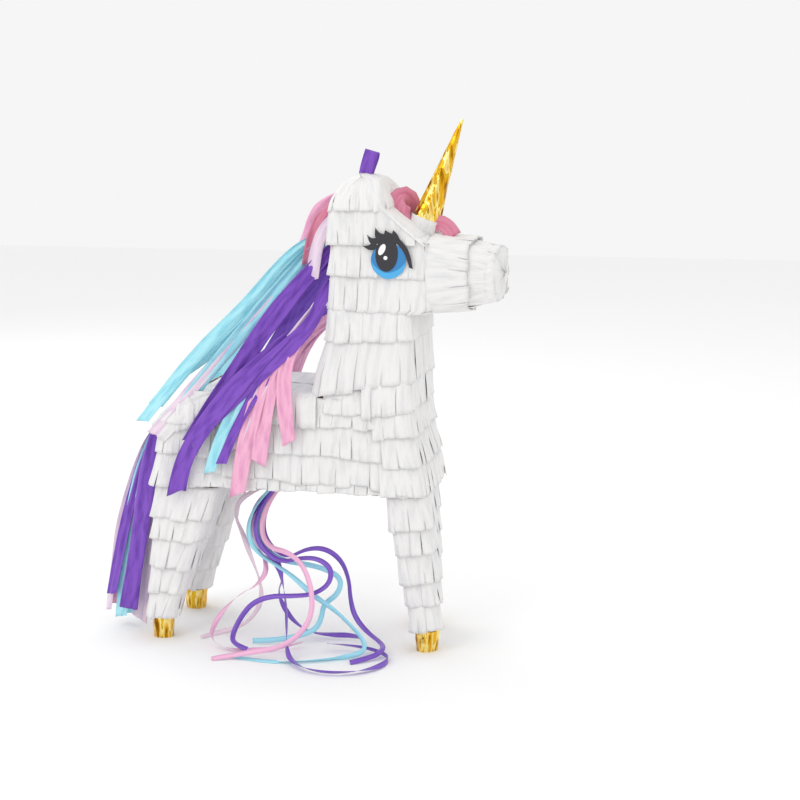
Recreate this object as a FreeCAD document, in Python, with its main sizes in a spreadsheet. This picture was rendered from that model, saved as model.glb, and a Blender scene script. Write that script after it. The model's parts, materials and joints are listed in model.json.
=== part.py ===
"""Pull-ribbon unicorn pinata: a card body under crepe fringe, with a fill door and a release flap.

Millimetres. +X is the way the animal faces, +Z is up, and Y = 0 is its middle plane. The origin is on
the floor, under the middle of the part's box. The animal's right side is at -Y, its left side at +Y.
"""
import FreeCAD, Part
import math
import os
import Sketcher

doc = FreeCAD.newDocument("pinata")
sizes = doc.addObject("Spreadsheet::Sheet", "sizes")

SIZES = [
    # alias, value, meaning
    ("board", 3.0, "thickness of the corrugated card"),
    ("core_half_width", 52.0, "middle plane to the outer face of a side panel"),
    ("leg_length", 155.0, "floor to the underside of the belly card"),
    ("torso_height", 84.0, "belly card to the foot of the nape"),
    ("croup_rise", 4.0, "how far the croup stands above the foot of the nape"),
    ("rump_fall", 31.0, "croup down to the top of the flat rump"),
    ("neck_rise", 78.0, "foot of the nape up to the throat"),
    ("head_rise", 101.0, "throat up to the top of the side panels"),
    ("crown_rise", 22.0, "top of the side panels up to the crown"),
    ("chest_x", 118.0, "front of the neck card"),
    ("chest_foot_x", 124.0, "front of the chest where it meets the belly"),
    ("rump_x", -119.0, "flat rear of the rump"),
    ("croup_x", -62.0, "highest point of the back"),
    ("nape_foot_x", 32.0, "foot of the nape"),
    ("nape_x", 44.0, "nape, half way up the neck"),
    ("crown_back_x", 50.0, "rear of the head"),
    ("crown_front_x", 91.0, "top of the forehead"),
    ("face_x", 134.0, "flat face card that carries the muzzle"),
    ("face_height", 60.0, "jaw up to the bridge of the nose"),
    ("coat_depth", 4.0, "fringe over the card edges"),
    ("torso_coat", 9.0, "fringe over the torso sides"),
    ("neck_coat", 6.0, "fringe over the neck sides"),
    ("head_coat", 4.0, "fringe over the head sides"),
    ("muzzle_length", 56.0, "face card to the tip of the muzzle tube"),
    ("muzzle_wall", 2.0, "card of the muzzle tube"),
    ("muzzle_root_half", 47.0, "half width of the muzzle tube at the face"),
    ("muzzle_tip_half", 38.0, "half width of the muzzle tube at its tip"),
    ("muzzle_tip_height", 38.0, "height of the muzzle tube at its tip"),
    ("leg_wall", 2.0, "rolled card of a leg"),
    ("hoof_height", 20.0, "gold hoof"),
    ("hoof_top_radius", 12.2, "hoof where it meets the leg"),
    ("hoof_foot_radius", 10.2, "hoof on the floor"),
    ("ankle_half", 10.5, "half width of a leg at its hoof"),
    ("front_foot_y", 40.0, "middle plane to a front hoof"),
    ("hind_foot_y", 49.0, "middle plane to a hind hoof"),
    ("leg_top_inner_y", 9.0, "middle plane to the inner face of a leg under the belly"),
    ("horn_lean", 20.0, "lean of the horn from upright, in degrees"),
    ("horn_base_x", 121.0, "middle of the horn on the forehead"),
    ("horn_length", 106.5, "forehead card to the tip of the horn"),
    ("horn_radius", 13.5, "foil at the foot of the horn"),
    ("horn_tip_radius", 1.3, "foil at the tip of the horn"),
    ("horn_wall", 1.2, "card of the horn"),
    ("foil", 0.5, "crumpled foil"),
    ("collar_height", 13.0, "crepe collar round the foot of the horn"),
    ("collar_depth", 3.0, "crepe collar over the foil"),
    ("eye_x", 101.0, "middle of an eye"),
    ("eye_height", 51.0, "throat up to the middle of an eye"),
    ("eye_half_length", 22.0, "half length of an eye sticker"),
    ("eye_half_height", 20.0, "half height of an eye sticker"),
    ("sticker", 0.6, "printed paper of an eye"),
    ("flap_front_x", 36.0, "hinge edge of the release flap's opening"),
    ("flap_length", 60.0, "release flap's opening along the belly"),
    ("flap_half_width", 30.0, "half width of the release flap's opening"),
    ("cut_gap", 0.8, "knife gap round a flap or a door"),
    ("tape", 0.4, "paper hinge tape"),
    ("tab_length", 12.0, "card tab that the pull ribbons are tied to"),
    ("tab_half_width", 17.0, "half width of the tab"),
    ("door_rear_x", 42.0, "rear edge of the fill door's opening"),
    ("door_length", 54.0, "fill door's opening along the body"),
    ("door_height", 46.0, "fill door's opening, bottom to top"),
    ("door_sill", 29.0, "belly card up to the bottom of the fill door's opening"),
    ("door_swing_gap", 2.2, "gap under the door, for its lower edge to swing past"),
    ("loop_x", 69.0, "middle of the hanging loop"),
    ("loop_width", 12.5, "width of the hanging ribbon"),
    ("loop_radius", 7.0, "outer radius of the loop's two ends"),
    ("loop_rise", 23.0, "crown up to the top of the hanging loop"),
    ("loop_thickness", 1.0, "folded hanging ribbon"),
    ("stick_radius", 2.5, "stick that the loop hangs on"),
    ("streamer", 2.6, "bunched crepe of the mane and tail"),
    ("streamer_gap", 0.4, "mane off the fringe"),
    ("ribbon_radius", 0.6, "pull ribbon, rolled to a round section of the same area"),
]
for row, (alias, number, meaning) in enumerate(SIZES, start=1):
    sizes.set(f"A{row}", meaning)
    sizes.set(f"B{row}", str(number))
    sizes.setAlias(f"B{row}", alias)
doc.recompute()


def value(text):
    """The number that an expression of the sheet's aliases gives now."""
    number = sizes.evalExpression(str(text))
    return float(getattr(number, "Value", number))


# Heights of the body, as expressions of the sheet.
BELLY = "sizes.leg_length"
BACK = f"({BELLY} + sizes.torso_height)"
CROUP = f"({BACK} + sizes.croup_rise)"
RUMP_TOP = f"({CROUP} - sizes.rump_fall)"
THROAT = f"({BACK} + sizes.neck_rise)"
PANEL_TOP = f"({THROAT} + sizes.head_rise)"
CROWN = f"({PANEL_TOP} + sizes.crown_rise)"
JAW = f"({THROAT} + 5)"
BRIDGE = f"({JAW} + sizes.face_height)"
BROW = f"({PANEL_TOP} - 15)"
BROW_X = "(sizes.crown_front_x + 8)"
# Sides of the body.
SIDE = "sizes.core_half_width"
INSIDE = f"({SIDE} - sizes.board)"
TORSO_SIDE = f"({SIDE} + sizes.torso_coat)"
NECK_SIDE = f"({SIDE} + sizes.neck_coat)"
HEAD_SIDE = f"({SIDE} + sizes.head_coat)"
COAT_BELLY = f"({BELLY} - sizes.coat_depth)"

subparts = []


def bind(obj, **expressions):
    """Tie an object's sizes to expressions of the sheet."""
    for name, text in expressions.items():
        obj.setExpression(name, str(text))
    return obj


def keep(obj, label):
    """Mark an object as a sub-part: its label names its file."""
    obj.Label = label
    subparts.append(obj)
    return obj


def place(obj, x, y, z):
    """Tie the place of an object to expressions of the sheet."""
    for axis, text in zip("xyz", (x, y, z)):
        obj.setExpression(f".Placement.Base.{axis}", str(text))
    return obj


def block(name, x, y, z):
    """Box between pairs of expressions."""
    box = doc.addObject("Part::Box", name)
    bind(box, Length=f"({x[1]}) - ({x[0]})", Width=f"({y[1]}) - ({y[0]})", Height=f"({z[1]}) - ({z[0]})")
    return place(box, x[0], y[0], z[0])


def cut(name, base, tool):
    result = doc.addObject("Part::Cut", name)
    result.Base = base
    result.Tool = tool
    return result


def common(name, base, tool):
    result = doc.addObject("Part::Common", name)
    result.Base = base
    result.Tool = tool
    return result


def fuse(name, shapes):
    result = doc.addObject("Part::MultiFuse", name)
    result.Shapes = shapes
    return result


def side_outline(name, points):
    """Closed sketch in the middle plane, each corner tied to a pair of expressions."""
    sketch = doc.addObject("Sketcher::SketchObject", name)
    sketch.Placement = FreeCAD.Placement(FreeCAD.Vector(), FreeCAD.Rotation(FreeCAD.Vector(1, 0, 0), 90))
    corners = [FreeCAD.Vector(value(x), value(z), 0) for x, z in points]
    for start, end in zip(corners, corners[1:] + corners[:1]):
        sketch.addGeometry(Part.LineSegment(start, end), False)
    count = len(corners)
    for number in range(count):
        sketch.addConstraint(Sketcher.Constraint("Coincident", number, 2, (number + 1) % count, 1))
    for number, pair in enumerate(points):
        for kind, text in zip(("DistanceX", "DistanceY"), pair):
            size = value(text)
            if size < 0:
                index = sketch.addConstraint(Sketcher.Constraint(kind, number, 1, -1, 1, -size))
                sketch.setExpression(f"Constraints[{index}]", f"-({text})")
            else:
                index = sketch.addConstraint(Sketcher.Constraint(kind, -1, 1, number, 1, size))
                sketch.setExpression(f"Constraints[{index}]", str(text))
    return sketch


def outset(name, sketch, text, join):
    """The outline moved out, or in where the expression is negative."""
    result = doc.addObject("Part::Offset2D", name)
    result.Source = sketch
    result.Join = join
    result.Value = value(text)
    return bind(result, Value=text)


def slab(name, outline, y):
    """An outline extruded across the body between two expressions."""
    result = doc.addObject("Part::Extrusion", name)
    result.Base = outline
    result.DirMode = "Custom"
    result.Dir = FreeCAD.Vector(0, 1, 0)
    result.Solid = True
    bind(result, LengthFwd=f"({y[1]}) - ({y[0]})")
    result.setExpression(".Placement.Base.y", str(y[0]))
    return result


def tapered(name, low, high, span):
    """Upright tapered block: low and high are (x0, x1, y0, y1), span is (z0, z1)."""
    result = doc.addObject("Part::Wedge", name)
    result.Placement.Rotation = FreeCAD.Rotation(FreeCAD.Vector(1, 0, 0), 90)
    bind(result, Xmin=low[0], Xmax=low[1], Zmin=f"-({low[3]})", Zmax=f"-({low[2]})", Ymin=span[0],
         X2min=high[0], X2max=high[1], Z2min=f"-({high[3]})", Z2max=f"-({high[2]})", Ymax=span[1])
    return result


def snout(name, root, tip, span):
    """Tapered block along X: root and tip are (half width, z0, z1), span is (x0, x1)."""
    result = doc.addObject("Part::Wedge", name)
    result.Placement.Rotation = FreeCAD.Rotation(FreeCAD.Vector(0, 0, 1), -90)
    bind(result, Xmin=f"-({root[0]})", Xmax=root[0], Zmin=root[1], Zmax=root[2], Ymin=span[0],
         X2min=f"-({tip[0]})", X2max=tip[0], Z2min=tip[1], Z2max=tip[2], Ymax=span[1])
    return result


# ---------------------------------------------------------------- body shells
OUTLINE = [
    ("sizes.nape_foot_x", BACK),
    ("sizes.nape_foot_x + 3", f"{BACK} + 23"),
    ("sizes.nape_x", f"{BACK} + 56"),
    ("sizes.crown_back_x", f"{PANEL_TOP} + 2"),
    ("sizes.crown_back_x + 5", f"{CROWN} - 7"),
    ("sizes.crown_back_x + 16", CROWN),
    ("sizes.crown_front_x - 7", f"{CROWN} - 5"),
    ("sizes.crown_front_x", f"{PANEL_TOP} + 2"),
    (BROW_X, BROW),
    ("sizes.face_x", BRIDGE),
    ("sizes.face_x", JAW),
    ("sizes.chest_x + 1", THROAT),
    ("sizes.chest_x", f"{BELLY} + 60"),
    ("sizes.chest_foot_x", BELLY),
    ("sizes.rump_x", BELLY),
    ("sizes.rump_x", RUMP_TOP),
    ("sizes.rump_x + 19", f"{CROUP} - 12"),
    ("sizes.croup_x", CROUP),
]
outline = side_outline("body_outline", OUTLINE)
doc.recompute()
inner_outline = outset("card_inner_outline", outline, "-sizes.board", "Tangent")
coat_outline = outset("coat_outline", outline, "sizes.coat_depth", "Arc")

FAR = "400"
WIDE = (f"-{FAR}", FAR)
core = slab("core_block", outline, (f"-{SIDE}", SIDE))
core_between = slab("core_between_panels", outline, (f"-{INSIDE}", INSIDE))
cavity = slab("cavity_block", inner_outline, WIDE)
band = cut("card_band", core_between, cavity)

# The crown is an arch across the head: a circle through both panel tops and the crown.
ARCH_RADIUS = f"((({SIDE})^2 + (sizes.crown_rise)^2) / (2 * sizes.crown_rise))"


def arch(name, extra):
    """Long cylinder along X whose top is the crown, moved out by an expression."""
    result = doc.addObject("Part::Cylinder", name)
    result.Placement.Rotation = FreeCAD.Rotation(FreeCAD.Vector(0, 1, 0), 90)
    bind(result, Radius=f"{ARCH_RADIUS} + ({extra})", Height=f"2 * {FAR}")
    return place(result, f"-{FAR}", "0", f"{CROWN} - {ARCH_RADIUS}")


below_crown = block("below_crown", WIDE, WIDE, ("0", PANEL_TOP))
above_panels = block("above_panels", WIDE, WIDE, (PANEL_TOP, f"{CROWN} + 50"))
core_arch = arch("core_arch", "0")
core_envelope = fuse("core_envelope", [below_crown, core_arch])
core_solid = common("core_solid", core, core_envelope)

DOOR_X = ("sizes.door_rear_x", "(sizes.door_rear_x + sizes.door_length)")
DOOR_Z = (f"({BELLY} + sizes.door_sill)", f"({BELLY} + sizes.door_sill + sizes.door_height)")
FLAP_X = ("(sizes.flap_front_x - sizes.flap_length)", "sizes.flap_front_x")
FLAP_Y = ("-sizes.flap_half_width", "sizes.flap_half_width")
BELLY_TOP = f"({BELLY} + sizes.board)"


def make_panels():
    """The two flat sides, cut off square at the crown, and the door's opening in the left one."""
    right = slab("right_panel_blank", outline, (f"-{SIDE}", f"-{INSIDE}"))
    keep(common("right_panel", right, below_crown), "side_panel_right")
    left = slab("left_panel_blank", outline, (INSIDE, SIDE))
    left_cut = common("left_panel_uncut", left, below_crown)
    opening = block("panel_door_opening", DOOR_X, ("0", FAR), DOOR_Z)
    keep(cut("left_panel", left_cut, opening), "side_panel_left")


def card_window(name, x, z):
    """The piece of the card band that lies in a window of the side view."""
    return common(name, band, block(f"{name}_window", x, WIDE, z))


def make_strips():
    """The bent strips between the side panels, butted where one ends and the next begins."""
    nape = card_window("nape_card", ("sizes.nape_foot_x", "(sizes.crown_back_x + 6)"), (BACK, PANEL_TOP))
    keep(nape, "nape_strip")
    rump_inner = "(sizes.rump_x + 19)"
    back = card_window("back_card_raw", (rump_inner, "(sizes.nape_foot_x + 10)"), (f"{BACK} - 25", CROUP))
    beside = block("nape_side", ("sizes.nape_foot_x", FAR), WIDE, (BACK, FAR))
    keep(cut("back_card", back, beside), "back_strip")
    keep(card_window("rump_card", (f"-{FAR}", rump_inner), (BELLY_TOP, FAR)), "rump_strip")
    belly = card_window("belly_card_raw", WIDE, (BELLY, BELLY_TOP))
    opening = block("belly_opening", FLAP_X, FLAP_Y, (f"{BELLY} - 10", f"{BELLY} + 10"))
    keep(cut("belly_card", belly, opening), "belly_strip")
    face_back = "(sizes.face_x - sizes.board)"
    chest_inner = "(sizes.chest_x - sizes.board - 1)"
    keep(card_window("chest_card", (chest_inner, face_back), (BELLY_TOP, f"{JAW} + 8")), "chest_strip")
    keep(card_window("face_card", (face_back, FAR), (THROAT, FAR)), "face_strip")
    brow = card_window("brow_card", ("(sizes.crown_front_x - 6)", face_back), (f"{BRIDGE} - 12", PANEL_TOP))
    keep(brow, "forehead_strip")


LOOP_X = ("(sizes.loop_x - sizes.loop_width / 2)", "(sizes.loop_x + sizes.loop_width / 2)")
STICK_Z = f"({CROWN} - 4.5 - sizes.loop_radius)"


def crown_slot(name):
    """Hole through the crown that the hanging ribbon comes out of."""
    margin = "2"
    x = (f"{LOOP_X[0]} - {margin}", f"{LOOP_X[1]} + {margin}")
    y = (f"-sizes.loop_radius - {margin}", f"sizes.loop_radius + {margin}")
    return block(name, x, y, (f"{STICK_Z} + 6", f"{CROWN} + 50"))


def make_crown():
    """The arched card cap, the stick inside it and the ribbon loop that goes round the stick."""
    outer = common("crown_outer", core_solid, above_panels)
    inner = common("crown_inner", cavity, arch("crown_inner_arch", "-sizes.board"))
    shell = cut("crown_shell", outer, inner)
    keep(cut("crown_card", shell, crown_slot("crown_card_slot")), "crown_cap")
    rod = doc.addObject("Part::Cylinder", "stick_rod")
    rod.Placement.Rotation = FreeCAD.Rotation(FreeCAD.Vector(0, 1, 0), 90)
    bind(rod, Radius="sizes.stick_radius", Height="100")
    place(rod, "sizes.loop_x - 50", "0", STICK_Z)
    keep(common("stick", rod, cavity), "hanging_stick")
    top_z = f"({CROWN} + sizes.loop_rise - sizes.loop_radius)"
    layers = []
    for name, inset in (("loop_outer", "0"), ("loop_inner", "sizes.loop_thickness")):
        radius = f"(sizes.loop_radius - {inset})"
        ends = []
        for end, height in (("foot", STICK_Z), ("top", top_z)):
            roll = doc.addObject("Part::Cylinder", f"{name}_{end}")
            roll.Placement.Rotation = FreeCAD.Rotation(FreeCAD.Vector(0, 1, 0), 90)
            bind(roll, Radius=radius, Height="sizes.loop_width")
            ends.append(place(roll, LOOP_X[0], "0", height))
        middle = block(f"{name}_middle", LOOP_X, (f"-{radius}", radius), (STICK_Z, top_z))
        layers.append(fuse(name, ends + [middle]))
    keep(cut("loop_band", layers[0], layers[1]), "hanging_loop")


MUZZLE_X = ("sizes.face_x", "(sizes.face_x + sizes.muzzle_length)")
MUZZLE_MIDDLE = f"({JAW} + 0.5 * sizes.face_height)"


def muzzle_block(name, extra, x):
    """The muzzle's tapered block, moved out on its four sides by an expression."""
    half = f"(sizes.muzzle_tip_height / 2 + ({extra}))"
    root_half = f"(sizes.face_height / 2 + ({extra}))"
    root = (f"(sizes.muzzle_root_half + ({extra}))", f"{MUZZLE_MIDDLE} - {root_half}",
            f"{MUZZLE_MIDDLE} + {root_half}")
    tip = (f"(sizes.muzzle_tip_half + ({extra}))", f"{MUZZLE_MIDDLE} - {half}", f"{MUZZLE_MIDDLE} + {half}")
    return snout(name, root, tip, x)


def make_muzzle():
    """Tapered card tube with a lid at its tip, under its own sleeve of fringe."""
    outer = muzzle_block("muzzle_outer", "0", MUZZLE_X)
    inner = muzzle_block("muzzle_inner", "-sizes.muzzle_wall", MUZZLE_X)
    keep(cut("muzzle_card", outer, inner), "muzzle_tube")
    half = "sizes.muzzle_tip_half"
    lid_x = (MUZZLE_X[1], f"{MUZZLE_X[1]} + sizes.muzzle_wall")
    half_height = "sizes.muzzle_tip_height / 2"
    lid_z = (f"{MUZZLE_MIDDLE} - {half_height}", f"{MUZZLE_MIDDLE} + {half_height}")
    lid = block("muzzle_lid_card", lid_x, (f"-{half}", half), lid_z)
    keep(lid, "muzzle_lid")
    sleeve_x = ("(sizes.face_x + sizes.coat_depth)", f"({lid_x[1]} + sizes.coat_depth)")
    sleeve = muzzle_block("muzzle_sleeve", "sizes.coat_depth", sleeve_x)
    hollow = fuse("muzzle_hollow", [muzzle_block("muzzle_hollow_block", "0", MUZZLE_X), lid])
    keep(cut("muzzle_fringe", sleeve, hollow), "fringe_muzzle")


LEGS = {
    # name: (side, foot x, foot y, rear and front of the leg under the belly, its sleeve there)
    "front_leg_right": (-1, "(sizes.chest_foot_x + 10)", "sizes.front_foot_y",
                        ("(sizes.chest_foot_x - 25)", "(sizes.chest_foot_x - 0.5)"),
                        ("(sizes.chest_foot_x - 29)", "(sizes.chest_foot_x + 12)")),
    "front_leg_left": (1, "(sizes.chest_foot_x - 5)", "sizes.front_foot_y",
                       ("(sizes.chest_foot_x - 34)", "(sizes.chest_foot_x - 8)"),
                       ("(sizes.chest_foot_x - 38)", "(sizes.chest_foot_x + 5)")),
    "hind_leg_right": (-1, "(sizes.rump_x - 3)", "sizes.hind_foot_y",
                       ("(sizes.rump_x + 2)", "(sizes.rump_x + 52)"),
                       ("(sizes.rump_x - 9)", "(sizes.rump_x + 59)")),
    "hind_leg_left": (1, "(sizes.rump_x - 3)", "sizes.hind_foot_y",
                      ("(sizes.rump_x + 2)", "(sizes.rump_x + 52)"),
                      ("(sizes.rump_x - 9)", "(sizes.rump_x + 59)")),
}


def leg_block(name, leg, extra, sleeve):
    """Tapered block of a leg, moved out by an expression; its sleeve is wider under the belly."""
    side, foot_x, foot_y, card_x, sleeve_x = LEGS[leg]
    half = f"(sizes.ankle_half + ({extra}))"
    near, far = f"({foot_y} - {half})", f"({foot_y} + {half})"
    if sleeve:
        top_x = sleeve_x
        top_near, top_far = "(sizes.leg_top_inner_y - 4)", f"({TORSO_SIDE} - 1)"
        span = ("(sizes.hoof_height + 2)", COAT_BELLY)
    else:
        top_x = (f"({card_x[0]} - ({extra}))", f"({card_x[1]} + ({extra}))")
        top_near, top_far = f"(sizes.leg_top_inner_y - ({extra}))", f"({SIDE} - 2 + ({extra}))"
        span = ("sizes.hoof_height", BELLY)
    foot = (f"({foot_x} - {half})", f"({foot_x} + {half})")
    if side < 0:
        low_y, high_y = (f"-{far}", f"-{near}"), (f"-{top_far}", f"-{top_near}")
    else:
        low_y, high_y = (near, far), (top_near, top_far)
    return tapered(name, foot + low_y, top_x + high_y, span)


def rounded(name, base, radius):
    """Fillet of the four slanted edges of a tapered block."""
    doc.recompute()
    result = doc.addObject("Part::Fillet", name)
    result.Base = base
    shape = base.Shape
    low, high = shape.BoundBox.ZMin, shape.BoundBox.ZMax
    slanted = [number for number, edge in enumerate(shape.Edges, start=1)
               if edge.BoundBox.ZMin < low + 1 and edge.BoundBox.ZMax > high - 1]
    result.Edges = [(number, radius, radius) for number in slanted]
    return result


def make_leg(leg):
    """Rolled card tube, its hoof and its sleeve of fringe; gives the card's outer block."""
    side, foot_x, foot_y = LEGS[leg][:3]
    outer = rounded(f"{leg}_outer", leg_block(f"{leg}_outer_block", leg, "0", False), 7.0)
    inner = rounded(f"{leg}_inner", leg_block(f"{leg}_inner_block", leg, "-sizes.leg_wall", False), 5.0)
    keep(cut(f"{leg}_card", outer, inner), leg)
    cone = doc.addObject("Part::Cone", f"{leg}_hoof_cone")
    bind(cone, Radius1="sizes.hoof_foot_radius", Radius2="sizes.hoof_top_radius", Height="sizes.hoof_height")
    place(cone, foot_x, f"{side} * {foot_y}", "0")
    keep(cone, leg.replace("leg", "hoof"))
    sleeve = rounded(f"{leg}_sleeve", leg_block(f"{leg}_sleeve_block", leg, "3.5", True), 9.0)
    keep(cut(f"{leg}_fringe", sleeve, outer), f"fringe_{leg}")
    return outer


def horn_point(along):
    """Point on the horn's middle line, a distance up from the forehead card."""
    slope = (value(BRIDGE) - value(BROW)) / (value("sizes.face_x") - value(BROW_X))
    base_x = value("sizes.horn_base_x")
    base_z = value(BROW) + slope * (base_x - value(BROW_X))
    lean = math.radians(value("sizes.horn_lean"))
    return FreeCAD.Vector(base_x + along * math.sin(lean), 0, base_z + along * math.cos(lean))


def horn_cone(name, start, end, offset):
    """Cone on the horn's line between two expressions, off the foil's outside by a third."""
    slope = "((sizes.horn_radius - sizes.horn_tip_radius) / sizes.horn_length)"
    cone = doc.addObject("Part::Cone", name)
    turn = FreeCAD.Rotation(FreeCAD.Vector(0, 1, 0), value("sizes.horn_lean"))
    cone.Placement = FreeCAD.Placement(horn_point(value(start)), turn)
    bind(cone, Radius1=f"sizes.horn_radius - {slope} * ({start}) + ({offset})",
         Radius2=f"sizes.horn_radius - {slope} * ({end}) + ({offset})", Height=f"({end}) - ({start})")
    return cone


HORN_FOOT = "-14"


def make_horn():
    """Rolled card cone, its crumpled foil and the crepe collar round its foot; gives the collar's hole."""
    foil_outer = horn_cone("foil_outer", HORN_FOOT, "sizes.horn_length", "0")
    foil_inner = horn_cone("foil_inner", HORN_FOOT, "sizes.horn_length - 8", "-sizes.foil")
    foil = cut("foil_wrap", foil_outer, foil_inner)
    keep(cut("foil_on_forehead", foil, core), "horn_foil")
    card_outer = horn_cone("horn_card_outer", HORN_FOOT, "sizes.horn_length - 8.2", "-sizes.foil - 0.05")
    bore = "-sizes.foil - 0.05 - sizes.horn_wall"
    card_inner = horn_cone("horn_card_inner", HORN_FOOT, "sizes.horn_length - 24", bore)
    card = cut("horn_card", card_outer, card_inner)
    keep(cut("horn_on_forehead", card, core), "horn_cone")
    collar_outer = horn_cone("collar_outer", HORN_FOOT, "sizes.collar_height", "sizes.collar_depth")
    collar_inner = horn_cone("collar_inner", HORN_FOOT, "sizes.collar_height", "0.05")
    collar = cut("collar_ring", collar_outer, collar_inner)
    under = fuse("collar_seat", [core, muzzle_block("collar_seat_muzzle", "0", MUZZLE_X)])
    keep(cut("collar_on_forehead", collar, under), "horn_collar")
    return horn_cone("collar_hole", HORN_FOOT, "sizes.collar_height + 60", "sizes.collar_depth + 0.3")


def make_forelock():
    """Pink ribbon tied round the collar: a ring, one standing loop behind it and one loose end in front."""
    low, high = "sizes.collar_height - 6", "sizes.collar_height + 1"
    ring_outer = horn_cone("bow_ring_outer", low, high, "sizes.collar_depth + 1.3")
    ring_inner = horn_cone("bow_ring_inner", low, high, "sizes.collar_depth + 0.1")
    ring = cut("bow_ring", ring_outer, ring_inner)
    middle = horn_point(value("sizes.collar_height") - 2.5)
    across = FreeCAD.Vector(math.cos(math.radians(value("sizes.horn_lean"))), 0,
                            -math.sin(math.radians(value("sizes.horn_lean"))))
    radius = value("sizes.horn_radius") + value("sizes.collar_depth")
    knot = middle - across * (radius + 0.6)
    centre = knot + FreeCAD.Vector(-3.5, 0, 10.5)
    half_width = 8.0
    layers = []
    for name, inset in (("bow_loop_outer", 0.0), ("bow_loop_inner", 1.2)):
        curve = doc.addObject("Part::Ellipse", f"{name}_edge")
        curve.MajorRadius = 12.0 - inset
        curve.MinorRadius = 9.0 - inset
        lie = FreeCAD.Rotation(FreeCAD.Vector(1, 0, 0), 90)
        curve.Placement = FreeCAD.Placement(centre + FreeCAD.Vector(0, -half_width, 0),
                                            FreeCAD.Rotation(FreeCAD.Vector(0, 1, 0), -70) * lie)
        body = doc.addObject("Part::Extrusion", name)
        body.Base = curve
        body.DirMode = "Custom"
        body.Dir = FreeCAD.Vector(0, 1, 0)
        body.LengthFwd = 2 * half_width
        body.Solid = True
        layers.append(body)
    loop = cut("bow_loop", layers[0], layers[1])
    end = doc.addObject("Part::Box", "bow_end")
    end.Length, end.Width, end.Height = 15.0, 11.0, 1.2
    start = middle + across * (radius - 1.0)
    end.Placement = FreeCAD.Placement(start + FreeCAD.Vector(0, -5.5, -0.6),
                                      FreeCAD.Rotation(FreeCAD.Vector(0, 1, 0), 28))
    keep(cut("bow_on_coat", fuse("bow", [ring, loop, end]), coat), "forelock_ribbon")


def make_eyes():
    for side, name in ((-1, "right"), (1, "left")):
        edge = doc.addObject("Part::Ellipse", f"eye_{name}_edge")
        bind(edge, MajorRadius="sizes.eye_half_length", MinorRadius="sizes.eye_half_height")
        edge.Placement.Rotation = FreeCAD.Rotation(FreeCAD.Vector(1, 0, 0), 90)
        low = HEAD_SIDE if side > 0 else f"-({HEAD_SIDE} + sizes.sticker)"
        place(edge, "sizes.eye_x", "0", f"{THROAT} + sizes.eye_height")
        paper = doc.addObject("Part::Extrusion", f"eye_{name}_paper")
        paper.Base = edge
        paper.DirMode = "Custom"
        paper.Dir = FreeCAD.Vector(0, 1, 0)
        paper.Solid = True
        bind(paper, LengthFwd="sizes.sticker")
        paper.setExpression(".Placement.Base.y", low)
        keep(paper, f"eye_{name}")


def make_release_flap():
    """The belly flap on its paper hinge, its fringe and the tab that the pull ribbons are tied to."""
    gap = "sizes.cut_gap"
    x = (f"{FLAP_X[0]} + {gap}", f"{FLAP_X[1]} - {gap}")
    y = (f"{FLAP_Y[0]} + {gap}", f"{FLAP_Y[1]} - {gap}")
    keep(block("flap_card", x, y, (BELLY, BELLY_TOP)), "release_flap")
    keep(block("flap_fringe_block", x, y, (COAT_BELLY, BELLY)), "fringe_release_flap")
    tab_x = (f"{x[0]} + 2", f"{x[0]} + 2 + sizes.tab_length")
    tab_y = ("-sizes.tab_half_width", "sizes.tab_half_width")
    keep(block("tab_card", tab_x, tab_y, (f"{COAT_BELLY} - sizes.board", COAT_BELLY)), "ribbon_tab")
    tape_x = (f"{FLAP_X[1]} + 0.3", f"{FLAP_X[1]} + 12")
    keep(block("flap_tape", tape_x, y, (f"{COAT_BELLY} - sizes.tape", COAT_BELLY)), "flap_hinge_tape")


def make_fill_door():
    """The flap in the left side that sweets go in through, hung from a paper hinge at its top."""
    gap = "sizes.cut_gap"
    x = (f"{DOOR_X[0]} + {gap}", f"{DOOR_X[1]} - {gap}")
    z = (f"{DOOR_Z[0]} + sizes.door_swing_gap", f"{DOOR_Z[1]} - {gap}")
    keep(block("door_card", x, (INSIDE, SIDE), z), "fill_door")
    keep(block("door_fringe_block", x, (SIDE, TORSO_SIDE), z), "fringe_fill_door")
    tape_z = (f"{DOOR_Z[1]} + 0.3", f"{DOOR_Z[1]} + 9")
    keep(block("door_tape", x, (TORSO_SIDE, f"{TORSO_SIDE} + sizes.tape"), tape_z), "door_hinge_tape")


def make_coat():
    """Three filled sleeves round the body, for torso, neck and head, and all three together."""
    neck_x = ("(sizes.nape_foot_x - sizes.coat_depth)", FAR)
    torso = slab("torso_sleeve", coat_outline, (f"-{TORSO_SIDE}", TORSO_SIDE))
    torso = cut("torso_below_neck", torso, block("neck_and_head", neck_x, WIDE, (BACK, "800")))
    neck = slab("neck_sleeve", coat_outline, (f"-{NECK_SIDE}", NECK_SIDE))
    neck = common("neck_between", neck, block("neck_window", neck_x, WIDE, (BACK, THROAT)))
    head = slab("head_sleeve", coat_outline, (f"-{HEAD_SIDE}", HEAD_SIDE))
    head = common("head_above", head, block("head_window", neck_x, WIDE, (THROAT, "800")))
    envelope = fuse("head_envelope", [below_crown, arch("coat_arch", "sizes.coat_depth")])
    head = common("head_arched", head, envelope)
    return torso, neck, head, fuse("coat", [torso, neck, head])


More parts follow.
